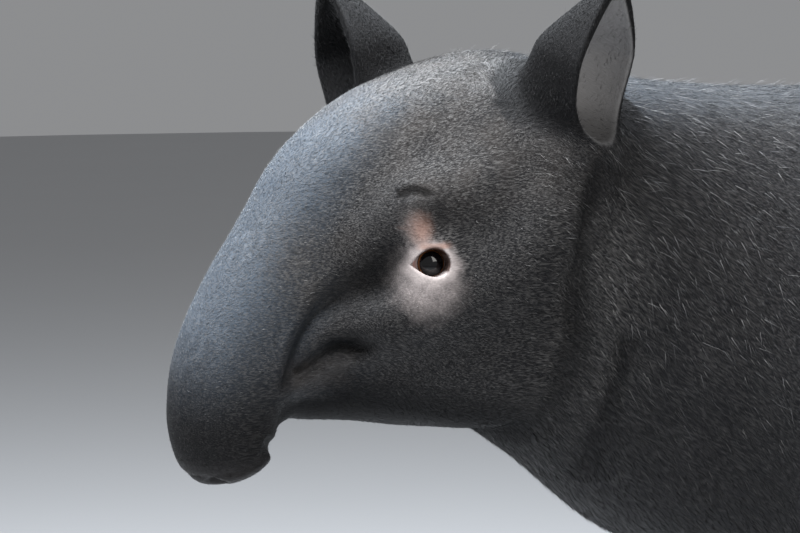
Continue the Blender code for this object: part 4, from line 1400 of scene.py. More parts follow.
@dataclass
class Skin:
    """The one surface of all the flesh."""

    trunk: Trunk
    legs: Legs
    head: Head
    ears: Ears
    coat: Coat
    head_step: float = 0.0031
    body_step: float = 0.0092
    seam: float = -0.415
    plain_triangles: int = 116000
    tufts_apiece: int = 47000
    eye_rings: tuple[float, float] = (0.044, 0.029)
    lowest: float = 0.0004
    longest_move: float = 0.0015

    def shape(self) -> Field:
        """The field of the flesh, inside the solids by the coat's depth.

        Returns:
            The field.
        """
        forms = self.trunk.forms() + self.head.forms() + self.legs.forms() + self.ears.forms()
        cuts = self.ears.hollows() + self.head.hollows()
        return Field(forms, cuts, self.head.strokes(), self.coat.depth)

    def half(self, shape: Field, lo: Sequence[float], hi: Sequence[float], step: float,
             forward: bool) -> tuple[Array, Array]:
        """The surface on one side of the seam's plane, open there.

        Args:
            shape: The field of the flesh.
            lo: The lowest corner of the box, from the origin.
            hi: The highest corner.
            step: The size of a face.
            forward: Whether the box is in front of the seam.

        Returns:
            The surface's points and faces.
        """
        lo, hi = ORIGIN + lo, ORIGIN + hi
        if forward:
            cells = math.ceil((hi[0] - lo[0]) / (step * COARSE_SPREAD))
            lo[0] = hi[0] - cells * step * COARSE_SPREAD
        return surface_of(shape.sampled(lo, hi, step), lo, step)

    def build(self) -> bpy.types.Object:
        """The skin, with the hair's lie, length, number and markings as attributes.

        Returns:
            The skin.
        """
        shape = self.shape()
        front = self.half(shape, (-1.02, -0.37, 0.46), (self.seam, 0.20, 1.18), self.head_step, True)
        back = self.half(shape, (self.seam, -0.37, -0.05), (0.93, 0.37, 1.12), self.body_step, False)
        mesh = bmesh.new()
        for points, faces in (front, back):
            verts = [mesh.verts.new(p) for p in points]
            for ring in faces:
                mesh.faces.new([verts[i] for i in ring])
        plane = ORIGIN[0] + self.seam
        rim = [e for e in mesh.edges if e.is_boundary and abs(e.verts[0].co.x - plane) < 0.02]
        ends = {v for e in rim for v in e.verts}
        self.zipped(mesh, [v for v in ends if v.co.x < plane], [v for v in ends if v.co.x >= plane])
        LOG.info("joined the skin: %d points", len(mesh.verts))
        mesh = self.thinned(mesh)
        LOG.info("thinned")
        self.refine(mesh, shape)
        LOG.info("settled")
        for where in (self.legs.near_floor, self.ears.near_rim, self.head.near_mouth):
            self.refine(mesh, shape, where)
        for gap in self.eye_rings:
            self.refine(mesh, shape, lambda p: self.coat.eye_gap(p) < gap)
        bmesh.ops.triangulate(mesh, faces=mesh.faces)
        data = mesh_of("skin", mesh)
        self.measure(data, shape)
        skin = linked("skin", data)
        LOG.info("skin: %d triangles", len(data.polygons))
        return skin

    def thinned(self, mesh: bmesh.types.BMesh) -> bmesh.types.BMesh:
        """The skin with fewer triangles where it is flattest.

        Args:
            mesh: The skin as it was drawn, which is freed.

        Returns:
            The thinner skin.
        """
        data = mesh_of("drawn", mesh)
        drawn = linked("drawn", data)
        modifier = drawn.modifiers.new("thin", "DECIMATE")
        modifier.ratio = self.plain_triangles / sum(len(face.vertices) - 2 for face in data.polygons)
        bpy.context.view_layer.update()
        graph = bpy.context.evaluated_depsgraph_get()
        mesh = bmesh.new()
        mesh.from_mesh(bpy.data.meshes.new_from_object(drawn.evaluated_get(graph)))
        bpy.data.objects.remove(drawn)
        return mesh

    def zipped(self, mesh: bmesh.types.BMesh, *ends: list[bmesh.types.BMVert]) -> None:
        """Joins the two open ends by triangles, taken in turn round the neck.

        Args:
            mesh: The skin.
            ends: The points of each open end.
        """
        middle = ORIGIN + (self.seam, -0.03, 0.79)
        rings = []
        for end in ends:
            turned = sorted((math.atan2(v.co.z - middle[2], v.co.y - middle[1]), k)
                            for k, v in enumerate(end))
            ring = [(turn, end[k]) for turn, k in turned]
            rings.append(ring + [(ring[0][0] + 2 * math.pi, ring[0][1])])
        i, j = 0, 0
        first, second = rings
        while i < len(first) - 1 or j < len(second) - 1:
            ahead = j == len(second) - 1 or (i < len(first) - 1 and first[i + 1][0] < second[j + 1][0])
            third = first[i + 1][1] if ahead else second[j + 1][1]
            made = mesh.faces.new((first[i][1], third, second[j][1]))
            made.normal_update()
            if made.normal.dot(made.verts[0].co - Vector(middle)) < 0:
                made.normal_flip()
            i, j = i + ahead, j + (not ahead)

    def refine(self, mesh: bmesh.types.BMesh, shape: Field,
               where: Optional[Callable[[Array], Array]] = None) -> None:
        """Splits the faces of a place, if one is given, and lays its points on the field.

        Args:
            mesh: The skin.
            shape: The field of the flesh.
            where: Says of each point whether its faces are split.
        """
        chosen = list(mesh.verts)
        if where:
            mesh.verts.index_update()
            inside = where(np.array([v.co for v in mesh.verts]))
            edges = [e for e in mesh.edges if inside[e.verts[0].index] and inside[e.verts[1].index]]
            bmesh.ops.subdivide_edges(mesh, edges=edges, cuts=1, use_grid_fill=True)
            inside = where(np.array([v.co for v in mesh.verts]))
            chosen = [vert for vert, here in zip(mesh.verts, inside) if here]
        LOG.info("settling %d points", len(chosen))
        moved = shape.settled(np.array([v.co for v in chosen]), self.longest_move)
        for vert, place in zip(chosen, moved):
            vert.co = (place[0], place[1], max(place[2], self.lowest))

    def measure(self, data: bpy.types.Mesh, shape: Field) -> None:
        """Writes the normals and the attributes that the coat follows.

        Args:
            data: The skin's mesh.
            shape: The field of the flesh.
        """
        p = np.array([v.co for v in data.vertices])
        normal = unit(shape.gradient(p))
        data.shade_smooth()
        flat = p[:, 2] < 0.001
        normal[flat] = (0, 0, -1)
        data.normals_split_custom_set_from_vertices(normal)
        marks = self.coat.markings(p)
        values = dict(marks)
        values["reach"] = self.coat.reach(p)
        values["crowd"] = self.coat.crowd(p, marks)
        front = head_coordinates(p)[0]
        back = ease(p[:, 2], 0.62, 0.95) * (1 - marks["bare"]) * (1 - marks["grey"])
        values["frost"] = back * (2500 + 7000 * ease(-front, -0.05, 0.10) * (1 - ease(p[:, 0], -0.3, 0.0)))
        for name, numbers in values.items():
            data.attributes.new(name, "FLOAT", "POINT").data.foreach_set("value", numbers.astype(np.float32))
        lie = self.coat.lie(p, normal).astype(np.float32)
        data.attributes.new("lie", "FLOAT_VECTOR", "POINT").data.foreach_set("vector", lie.ravel())
        corners = np.array([f.vertices for f in data.polygons])
        middle = p[corners].mean(1)
        a, b, c = (p[corners[:, k]] for k in range(3))
        area = np.linalg.norm(np.cross(b - a, c - a), axis=1) / 2
        order = np.argsort(middle[:, 0])
        total = np.cumsum((area * values["crowd"][corners].mean(1))[order])
        zone = np.zeros(len(corners), np.int32)
        zone[order] = (total / self.tufts_apiece).astype(int)
        data.attributes.new("zone", "INT", "FACE").data.foreach_set("value", zone)
        data["zones"] = int(zone.max()) + 1
        LOG.info("coat: about %d tufts", total[-1])


class Value:
    """A socket of a node tree, on which an expression adds nodes."""

    def __init__(self, tree: "Tree", socket: bpy.types.NodeSocket) -> None:
        """Wraps the socket."""
        self.tree = tree
        self.socket = socket

    def math(self, operation: str, *others: Any) -> "Value":
        """The value of a Math node on this and the others."""
        values = {i + 1: other for i, other in enumerate(others)}
        return self.tree.node("ShaderNodeMath", {"operation": operation}, {0: self, **values})

    def __add__(self, other: Any) -> "Value":
        """This plus the other."""
        return self.math("ADD", other)

    def __sub__(self, other: Any) -> "Value":
        """This less the other."""
        return self.math("SUBTRACT", other)

    def __rsub__(self, other: Any) -> "Value":
        """The other less this."""
        return self.tree.node("ShaderNodeMath", {"operation": "SUBTRACT"}, {0: other, 1: self})

    def __mul__(self, other: Any) -> "Value":
        """This times the other."""
        return self.math("MULTIPLY", other)

    def __truediv__(self, other: Any) -> "Value":
        """This over the other."""
        return self.math("DIVIDE", other)

    __radd__ = __add__
    __rmul__ = __mul__

    def over(self, low: float, high: float) -> "Value":
        """0 below low and 1 above high, with a smooth rise between them.

        Args:
            low: What turns to 0.
            high: What turns to 1.

        Returns:
            The share between them.
        """
        limits = {"Value": self, "From Min": min(low, high), "From Max": max(low, high)}
        limits |= {"To Min": float(low > high), "To Max": float(low <= high)}
        return self.tree.node("ShaderNodeMapRange", {"interpolation_type": "SMOOTHSTEP"}, limits)


class Tree:
    """A node tree that nodes are added to."""

    def __init__(self, tree: bpy.types.NodeTree) -> None:
        """Wraps the tree."""
        self.tree = tree

    def node(self, kind: str, settings: Optional[dict[str, Any]] = None,
             values: Optional[dict[Any, Any]] = None, output: Any = 0) -> Value:
        """Adds a node.

        Args:
            kind: The node's type.
            settings: Its own settings, such as a Math node's operation.
            values: The number, colour or link of each of its inputs.
            output: Which of its outputs is wanted.

        Returns:
            The output.
        """
        made = self.tree.nodes.new(kind)
        for name, value in (settings or {}).items():
            setattr(made, name, value)
        for name, value in (values or {}).items():
            if isinstance(value, Value):
                self.tree.links.new(value.socket, made.inputs[name])
            else:
                made.inputs[name].default_value = value
        return Value(self, made.outputs[output])

    def vector(self, operation: str, a: Any, b: Any, output: str = "Vector") -> Value:
        """The outcome of a Vector Math node."""
        return self.node("ShaderNodeVectorMath", {"operation": operation}, {0: a, 1: b}, output)

    def mix(self, share: Any, a: Any, b: Any) -> Value:
        """Colour a turned into colour b by a share."""
        return self.node("ShaderNodeMix", {"data_type": "RGBA"}, {0: share, 6: a, 7: b}, 2)

    def noise(self, place: Value, scale: float, detail: float = 3.0) -> Value:
        """An even noise from 0 to 1 over a place."""
        values = {"Vector": place, "Scale": scale, "Detail": detail}
        return self.node("ShaderNodeTexNoise", None, values, "Fac")

    def place(self) -> Value:
        """The place on the object."""
        return self.node("ShaderNodeTexCoord", output="Object")

    def attribute(self, name: str) -> Value:
        """A named number of the mesh."""
        return self.node("ShaderNodeAttribute", {"attribute_name": name}, output="Fac")

    def turned(self, place: Value, ways: Sequence[Array], sizes: Sequence[float]) -> Value:
        """A place read along three ways, each divided by a size."""
        parts = {i: self.vector("DOT_PRODUCT", place, tuple(w / s), "Value")
                 for i, (w, s) in enumerate(zip(ways, sizes))}
        return self.node("ShaderNodeCombineXYZ", None, parts)


@dataclass(frozen=True)
class Finish:
    """A finish: a Principled surface that keeps its even numbers on its own sockets."""

    name: str
    roughness: float = 0.5
    coat: float = 0.0
    sheen: float = 0.0
    specular: float = 0.5

    def material(self) -> bpy.types.Material:
        """The finished material.

        Returns:
            The material.
        """
        made = bpy.data.materials.new(self.name)
        made.use_nodes = True
        tree = Tree(made.node_tree)
        shader = made.node_tree.nodes["Principled BSDF"]
        for name, value in (("Roughness", self.roughness), ("Coat Weight", self.coat),
                            ("Sheen Weight", self.sheen), ("Specular IOR Level", self.specular)):
            shader.inputs[name].default_value = value
        shader.inputs["Coat Roughness"].default_value = 0.03
        shader.inputs["Sheen Roughness"].default_value = 0.35
        shader.inputs["Sheen Tint"].default_value = (0.80, 0.90, 1.0, 1)
        for name, value in self.paint(tree).items():
            made.node_tree.links.new(value.socket, shader.inputs[name])
        return made

    def paint(self, tree: Tree) -> dict[str, Value]:
        """What feeds the surface's sockets."""
        raise NotImplementedError


@dataclass(frozen=True)
class Hide(Finish):
    """The colours that skin and hair share: black and pale coat, grey ears and pink lids, with a bluish
    painted sheen and painted shade.
    """

    strands: bool = False
    black: Colour = (0.010, 0.010, 0.0115, 1)
    brown: Colour = (0.048, 0.042, 0.039, 1)
    # The bluish painted sheen, where glossy hair on top would reflect the light.
    cool: Colour = (0.082, 0.104, 0.132, 1)
    pale: Colour = (0.31, 0.298, 0.282, 1)
    grey: Colour = (0.25, 0.245, 0.245, 1)
    pink: Colour = (0.58, 0.51, 0.49, 1)
    bare: Colour = (0.035, 0.031, 0.031, 1)
    warm: Colour = (0.40, 0.215, 0.155, 1)
    rim: Colour = (0.040, 0.016, 0.009, 1)
    frosted: Colour = (0.125, 0.120, 0.116, 1)
    white: Colour = (0.50, 0.49, 0.47, 1)

    def paint(self, tree: Tree) -> dict[str, Value]:
        """The colour, roughness and fine relief.

        Args:
            tree: The material's tree.

        Returns:
            The value of each socket.
        """
        place = tree.place()
        blotch = tree.noise(place, 14.0)
        speck = tree.noise(place, 160.0)
        bare = tree.attribute("bare")
        lines = tree.attribute("tone") if self.strands else self.lines(tree, place)
        colour: Any = tree.mix(bare, self.black, self.bare)
        # Mixes in the bluish painted sheen.
        colour = tree.mix(tree.attribute("cool") * 0.8, colour, self.cool)
        colour = tree.mix(tree.attribute("brown") * (0.45 + 0.8 * speck), colour, self.brown)
        hoar = tree.attribute("hoar")
        light = lines.over(0.10, 0.95) if self.strands else lines.over(0.42, 0.66) * (1.0 - bare)
        colour = tree.mix(hoar * light, colour, self.frosted)
        if self.strands:
            colour = tree.mix(hoar * lines.over(0.93, 0.99) * 0.8, colour, self.white)
        colour = tree.mix(tree.attribute("grey"), colour, self.grey)
        colour = tree.mix(tree.attribute("pink") * (0.45 + 0.5 * speck + 0.45 * lines), colour, self.pink)
        colour = tree.mix(tree.attribute("warm"), colour, self.warm)
        colour = tree.mix(tree.attribute("rim"), colour, self.rim)
        pale = tree.attribute("pale")
        edge = (pale + (lines - 0.5) * pale * (1.0 - pale) * 2.0).over(0.35, 0.65)
        colour = tree.mix(edge, colour, self.pale)
        # Painted shade: it darkens the colour and roughens it in the folds, on the throat, low on the trunk
        # and in the ears.
        lit = 1.0 - 0.88 * tree.attribute("dark")
        shade = (0.66 + 0.35 * blotch + 0.32 * lines) * lit
        grey = tree.node("ShaderNodeCombineXYZ", None, {0: shade, 1: shade, 2: shade})
        colour = tree.vector("MULTIPLY", colour, grey)
        rough = self.roughness - 0.10 + 0.2 * blotch + 0.25 * (1.0 - lit)
        if self.strands:
            return {"Base Color": colour, "Roughness": rough}
        grain = 0.5 * tree.noise(place, 420.0, 4.0) + 0.8 * tree.noise(place, 90.0, 3.0)
        bump = {"Strength": 0.5, "Distance": 0.0010, "Height": lines * (1.0 - bare) + grain * bare}
        return {"Base Color": colour, "Roughness": rough - 0.08 * bare,
                "Normal": tree.node("ShaderNodeBump", None, bump)}

    def lines(self, tree: Tree, place: Value) -> Value:
        """The short hair as fine lines along its lie.

        Args:
            tree: The material's tree.
            place: The place on the object.

        Returns:
            The lines, from 0 to 1.
        """
        neck = (np.array([0.85, 0, -0.53]), np.array([0.53, 0, 0.85]), np.array([0, 1.0, 0]))
        limb = (HEAD_UP, np.array([1.0, 0, 0]), np.array([0, 1.0, 0]))
        face = (HEAD_FRONT, HEAD_LEFT, HEAD_UP)
        sizes = (0.009, 0.0010, 0.0010)
        lines = [tree.noise(tree.turned(place, ways, sizes), 1.0, 2.0) for ways in (neck, limb, face)]
        low = tree.node("ShaderNodeSeparateXYZ", None, {0: place}, 2).over(0.50, 0.36)
        offset = tree.vector("SUBTRACT", place, tuple(HEAD_ORIGIN))
        ahead = tree.vector("DOT_PRODUCT", offset, tuple(HEAD_FRONT), "Value").over(-0.20, -0.10)
        hair = lines[0] * (1.0 - low) + lines[1] * low
        return hair * (1.0 - ahead) + lines[2] * ahead


@dataclass(frozen=True)
class Gaze(Finish):
    """The wet eye: a wide dark pupil, a narrow brown iris, and dark skin at its rim."""

    centre: Triple = (0, 0, 0)
    facing: Triple = (1, 0, 0)
    inner: Triple = (1, 0, 0)
    pupil: Colour = (0.003, 0.003, 0.004, 1)
    iris: Colour = (0.24, 0.092, 0.032, 1)
    rim: Colour = (0.020, 0.012, 0.010, 1)
    white: Colour = (0.66, 0.55, 0.53, 1)
    corner: Colour = (0.85, 0.55, 0.52, 1)

    def paint(self, tree: Tree) -> dict[str, Value]:
        """The rings of the eye, by the way that each place lies from its middle.

        Args:
            tree: The material's tree.

        Returns:
            The value of each socket.
        """
        way = tree.node("ShaderNodeVectorMath", {"operation": "NORMALIZE"},
                        {0: tree.vector("SUBTRACT", tree.place(), self.centre)})
        ahead = tree.vector("DOT_PRODUCT", way, self.facing, "Value")
        inward = tree.vector("DOT_PRODUCT", way, self.inner, "Value")
        fibre = tree.noise(tree.vector("SUBTRACT", tree.place(), self.centre), 900.0)
        off = (1.0 - ahead) + 0.015 * (fibre - 0.5)
        colour: Any = tree.mix(off.over(0.150, 0.163), self.pupil, self.iris)
        colour = tree.mix(off.over(0.192, 0.204), colour, self.rim)
        colour = tree.mix(off.over(0.208, 0.226), colour, self.white)
        colour = tree.mix(inward.over(0.62, 0.74), colour, self.corner)
        return {"Base Color": colour}


@dataclass(frozen=True)
class Horn(Finish):
    """The dull dark horn of the hooves, paler and worn at the floor."""

    dark: Colour = (0.040, 0.035, 0.031, 1)
    worn: Colour = (0.16, 0.145, 0.125, 1)

    def paint(self, tree: Tree) -> dict[str, Value]:
        """Streaks up the nail, growth rings round it and dust at its foot.

        Args:
            tree: The material's tree.

        Returns:
            The value of each socket.
        """
        place = tree.place()
        height = tree.node("ShaderNodeSeparateXYZ", None, {0: place}, 2)
        streak = tree.noise(tree.vector("MULTIPLY", place, (420.0, 420.0, 40.0)), 1.0)
        dust = tree.noise(place, 70.0)
        share = (1.0 - height.over(0.002, 0.020)) * 0.8 * dust + 0.35 * streak
        rings = (height * 1900.0 + 3.0 * dust).math("SINE") * 0.5 + 0.4 * streak
        bump = tree.node("ShaderNodeBump", None, {"Strength": 0.3, "Distance": 0.0003, "Height": rings})
        return {"Base Color": tree.mix(share, self.dark, self.worn),
                "Roughness": 0.42 + 0.25 * dust, "Normal": bump}


@dataclass(frozen=True)
class Ground(Finish):
    """The plain pale floor."""

    colour: Colour = (0.44, 0.445, 0.455, 1)
    other: Colour = (0.42, 0.42, 0.42, 1)

    def paint(self, tree: Tree) -> dict[str, Value]:
        """One colour with a barely uneven gloss."""
        return {"Roughness": 0.6 + 0.1 * tree.noise(tree.place(), 3.0),
                "Base Color": tree.mix(tree.noise(tree.place(), 1.5) * 0.06, self.colour, self.other)}


class Spike(Enum):
    """The shape of one tuft: its rings of three points, each at a share of its length."""

    STRAIGHT = ((0.0, 1.0, 0.0),)
    BENT = ((0.0, 1.0, 0.0), (0.45, 0.7, 2.2))

    def build(self) -> bpy.types.Object:
        """A tuft one unit long along X, its base round the origin, outside every scene.

        Returns:
            The tuft.
        """
        mesh = bmesh.new()
        last: list[bmesh.types.BMVert] = []
        for ahead, half, lift in self.value:
            ring = [mesh.verts.new((ahead, 0.5 * half * math.sin(turn),
                                    lift + 0.35 * half * math.cos(turn)))
                    for turn in (0.0, 2 * math.pi / 3, 4 * math.pi / 3)]
            for k in range(3 if last else 0):
                a, b, c, d = last[k], last[(k + 1) % 3], ring[(k + 1) % 3], ring[k]
                mesh.faces.new((a, b, c))
                mesh.faces.new((a, c, d))
            if not last:
                mesh.faces.new(ring)
            last = ring
        tip = mesh.verts.new((1, 0, 0.3))
        for k in range(3):
            mesh.faces.new((last[k], last[(k + 1) % 3], tip))
        bmesh.ops.recalc_face_normals(mesh, faces=mesh.faces)
        return bpy.data.objects.new("tuft", mesh_of("tuft", mesh))


@dataclass
class Brush:
    """The tree that lays tufts along the skin, and the settings of one piece of coat."""

    name: str
    spike: bpy.types.Object
    zone: int
    finish: bpy.types.Material
    density: str = "crowd"
    length: float = 1.0
    thickness: float = 0.032
    lift: float = 0.16
    stray: float = 0.22
    seed: int = 7
    zone_seed: int = 31
    patch: float = 0.003

    @staticmethod
    def tree() -> bpy.types.NodeTree:
        """The tree, with named inputs for the tufts' sizes and seed.

        Returns:
            The tree, which is made once.
        """
        group = bpy.data.node_groups.get("laid_hair")
        if group:
            return group
        group = bpy.data.node_groups.new("laid_hair", "GeometryNodeTree")
        sockets = (("Geometry", "Geometry"), ("Spike", "Object"), ("Zone", "Int"), ("Finish", "Material"),
                   ("Density", "String"), ("Length", "Float"), ("Thickness", "Float"), ("Lift", "Float"),
                   ("Stray", "Float"), ("Seed", "Int"))
        for name, kind in sockets:
            group.interface.new_socket(name, in_out="INPUT", socket_type="NodeSocket" + kind)
        group.interface.new_socket("Geometry", in_out="OUTPUT", socket_type="NodeSocketGeometry")
        tree = Tree(group)
        start = group.nodes.new("NodeGroupInput")

        def given(name: str) -> Value:
            """An input of the whole tree."""
            return Value(tree, start.outputs[name])

        def read(name: Any, kind: str = "FLOAT") -> Value:
            """A named attribute of the skin."""
            return tree.node("GeometryNodeInputNamedAttribute", {"data_type": kind}, {"Name": name})

        def chance(low: Any, high: Any, salt: int, kind: str = "FLOAT") -> Value:
            """An even random number for each tuft.

            Args:
                low: The least.
                high: The most.
                salt: What sets it apart from the others.
                kind: Whether it is one number or three.

            Returns:
                The number.
            """
            first, out = (2, 1) if kind == "FLOAT" else (0, 0)
            values = {first: low, first + 1: high, "Seed": given("Seed") + salt}
            return tree.node("FunctionNodeRandomValue", {"data_type": kind}, values, out)

        def stored(points: Value, kind: str, name: str, value: Value) -> Value:
            """The points with a named attribute."""
            return tree.node("GeometryNodeStoreNamedAttribute", {"data_type": kind},
                             {"Geometry": points, "Name": name, "Value": value})

        def scaled(vector: Value, size: Value) -> Value:
            """A vector made longer or shorter."""
            return tree.node("ShaderNodeVectorMath", {"operation": "SCALE"}, {0: vector, "Scale": size})

        every = given("Zone").math("LESS_THAN", 0.0)
        here = read("zone", "INT").math("COMPARE", given("Zone"), 0.25).math("MAXIMUM", every)
        scattered = {"Mesh": given("Geometry"), "Selection": here, "Density": read(given("Density")),
                     "Seed": given("Seed")}
        points = tree.node("GeometryNodeDistributePointsOnFaces", None, scattered, "Points")
        normal = Value(tree, points.socket.node.outputs["Normal"])
        points = stored(points, "FLOAT", "tone", chance(0.0, 1.0, 1))
        points = stored(points, "FLOAT_VECTOR", "root", tree.node("GeometryNodeInputPosition"))
        astray = scaled(chance((-1, -1, -1), (1, 1, 1), 2, "FLOAT_VECTOR"), given("Stray"))
        way = tree.vector("ADD", read("lie", "FLOAT_VECTOR"), astray)
        off = tree.vector("DOT_PRODUCT", way, normal, "Value")
        way = tree.vector("ADD", way, scaled(normal, given("Lift") * chance(0.4, 1.6, 3) - off))
        turn = tree.node("FunctionNodeAlignRotationToVector", {"axis": "X"}, {"Vector": way})
        turn = tree.node("FunctionNodeAlignRotationToVector", {"axis": "Z", "pivot_axis": "X"},
                         {"Rotation": turn, "Vector": normal})
        reach = read("reach") * given("Length") * chance(0.65, 1.25, 4)
        thick = (reach * given("Thickness") + 0.00016) * chance(0.7, 1.3, 5)
        scale = tree.node("ShaderNodeCombineXYZ", None, {0: reach, 1: thick, 2: thick})
        spike = tree.node("GeometryNodeObjectInfo", None, {"Object": given("Spike")}, "Geometry")
        laid = tree.node("GeometryNodeInstanceOnPoints", None,
                         {"Points": points, "Instance": spike, "Rotation": turn, "Scale": scale})
        solid = tree.node("GeometryNodeRealizeInstances", None, {"Geometry": laid})
        finished = tree.node("GeometryNodeSetMaterial", None,
                             {"Geometry": solid, "Material": given("Finish")})
        end = group.nodes.new("NodeGroupOutput")
        group.links.new(finished.socket, end.inputs[0])
        return group

    def lay(self, skin: bpy.types.Object) -> bpy.types.Object:
        """One piece of the coat as a plain mesh.

        Args:
            skin: The skin that it grows on.

        Returns:
            The piece, with its tufts' roots laid out on its map.
        """
        carrier = linked(self.name, skin.data)
        modifier = carrier.modifiers.new("hair", "NODES")
        modifier.node_group = self.tree()
        given = {"Spike": self.spike, "Zone": self.zone, "Finish": self.finish, "Density": self.density,
                 "Length": self.length, "Thickness": self.thickness, "Lift": self.lift,
                 "Stray": self.stray, "Seed": self.seed + self.zone_seed * self.zone}
        for item in modifier.node_group.interface.items_tree:
            if item.name in given:
                modifier[item.identifier] = given[item.name]
        bpy.context.view_layer.update()
        graph = bpy.context.evaluated_depsgraph_get()
        data = bpy.data.meshes.new_from_object(carrier.evaluated_get(graph))
        bpy.data.objects.remove(carrier)
        data.name = self.name
        piece = linked(self.name, data)
        self.map_roots(data)
        for spare in ("lie", "crowd", "frost", "reach", "zone"):
            if spare in data.attributes:
                data.attributes.remove(data.attributes[spare])
        data.shade_smooth()
        LOG.info("%s: %d triangles", self.name, len(data.polygons))
        return piece

    def map_roots(self, data: bpy.types.Mesh) -> None:
        """Lays each tuft as a small patch at its root's place on the unwrapped skin.

        Args:
            data: The mesh of the piece.
        """
        root = np.zeros(len(data.vertices) * 3, np.float32)
        data.attributes["root"].data.foreach_get("vector", root)
        corner = np.zeros(len(data.loops), np.int32)
        data.loops.foreach_get("vertex_index", corner)
        spread = unwrapped(root.reshape(-1, 3).astype(float))[corner]
        faces = len(self.spike.data.polygons)
        grid = math.ceil(math.sqrt(faces))
        cell = self.patch / grid
        face = (np.arange(len(corner)) // 3) % faces
        local = np.array([(0.1, 0.1), (0.9, 0.1), (0.1, 0.9)])[np.arange(len(corner)) % 3]
        patch = (np.stack([face % grid, face // grid], 1) + local) * cell
        layer = data.uv_layers.new(name="OFBake")
        layer.data.foreach_set("uv", (spread + patch).astype(np.float32).ravel())
        data.attributes.remove(data.attributes["root"])


def unwrapped(p: Array) -> Array:
    """Each place of the skin on one flat sheet: body and neck, head and four legs side by side.

    Args:
        p: Points on the skin.

    Returns:
        Their places on the sheet, from 0 to 1.
    """
    x, y, z = (p - ORIGIN).T
    front, left, up = head_coordinates(p)
    turn = np.arctan2(y, z - 0.72) / (2 * math.pi) + 0.5
    sheet = np.stack([0.02 + (x + 0.60) * 0.36, 0.02 + 0.50 * turn], 1)
    face = np.arctan2(left, up + 0.03 + 0.3 * np.maximum(front, 0)) / (2 * math.pi) + 0.5
    head = np.stack([0.02 + (front + 0.24) * 0.85, 0.56 + 0.40 * face], 1)
    sheet = np.where((front > -0.15)[:, None], head, sheet)
    for number, (side, middle) in enumerate(((-1, -0.21), (1, -0.21), (-1, 0.61), (1, 0.61))):
        here = (z < 0.42) & (y * side > 0) & ((x > 0.2) == (middle > 0))
        turn = np.arctan2(y - side * 0.145, x - middle) / (2 * math.pi) + 0.5
        left_edge, lower_edge = 0.60 + (number % 2) * 0.19, 0.02 + (number // 2) * 0.25
        leg = np.stack([left_edge + 0.17 * turn, lower_edge + z * 0.5], 1)
        sheet = np.where(here[:, None], leg, sheet)
    return sheet


@dataclass
class Eyeball:
    """One eye: a fine ball with a slight bulge where it is clear."""

    head: Head
    side: Side
    bulge: float = 0.0007

    def build(self) -> bpy.types.Object:
        """The finished eye, which stands for the solid one.

        Returns:
            The eye.
        """
        name = self.side.name.lower()
        opening = self.head.opening(self.side)
        mesh = bmesh.new()
        bmesh.ops.create_uvsphere(mesh, u_segments=64, v_segments=40, radius=1.0)
        for vert in mesh.verts:
            way = unit(np.array(vert.co))
            ahead = float(way @ opening.facing)
            reach = EYE_RADIUS - 0.0004 + self.bulge * float(ease(np.array(ahead), 0.72, 0.95))
            vert.co = opening.centre + way * reach
        data = mesh_of("eyeball_" + name, mesh)
        data.shade_smooth()
        piece = linked("eyeball_" + name, data)
        inner = unit(HEAD_FRONT - (HEAD_FRONT @ opening.facing) * opening.facing)
        finish = Gaze("wet_eye_" + name, 0.12, coat=1.0, specular=0.15, centre=tuple(opening.centre),
                      facing=tuple(opening.facing), inner=tuple(inner))
        data.materials.append(finish.material())
        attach(piece, "root")
        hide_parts("eye_" + name)
        return piece


@dataclass
class Hoof:
    """One horny nail: a rounded wedge with growth rings and a flat sole."""

    legs: Legs
    leg: str
    number: int
    finish: bpy.types.Material

    def build(self) -> bpy.types.Object:
        """The finished nail, which stands for the solid one.

        Returns:
            The nail.
        """
        name = f"nail_{self.leg}_{self.number}"
        root, way, size, lift = self.legs.toes(self.leg)[self.number - 1]
        side = np.cross(HEAD_UP, way)
        reach = self.legs.toe_reach * (0.55 + 0.45 * size) + 0.004
        length, half, height = (r * size for r in self.legs.hoof_radii)
        mesh = bmesh.new()
        bmesh.ops.create_uvsphere(mesh, u_segments=40, v_segments=32, radius=1.0)
        for vert in mesh.verts:
            a, b, c = vert.co
            ring = 1 + 0.0035 * math.sin(c * 26) - 0.006 * abs(math.sin(c * 9 + a * 2))
            chip = 1 + 0.012 * math.sin(b * 11 + self.number) * max(0.0, 0.25 - c)
            lean = -0.30 * max(c, 0) * height
            place = root + way * (reach + a * length * ring * chip + lean) + side * b * half * ring
            vert.co = (place[0], place[1], lift + c * height)
        everything = mesh.verts[:] + mesh.edges[:] + mesh.faces[:]
        cut = bmesh.ops.bisect_plane(mesh, geom=everything, dist=1e-6, plane_co=(0, 0, lift),
                                     plane_no=(0, 0, 1), clear_inner=True)
        edges = [e for e in cut["geom_cut"] if isinstance(e, bmesh.types.BMEdge)]
        bmesh.ops.contextual_create(mesh, geom=edges)
        bmesh.ops.recalc_face_normals(mesh, faces=mesh.faces)
        data = mesh_of(name, mesh)
        data.shade_smooth()
        data.set_sharp_from_angle(angle=math.radians(50))
        piece = linked(name, data)
        data.materials.append(self.finish)
        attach(piece, "root")
        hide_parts("hoof_{}_{}_{}".format(*self.leg.split("_"), self.number))
        return piece


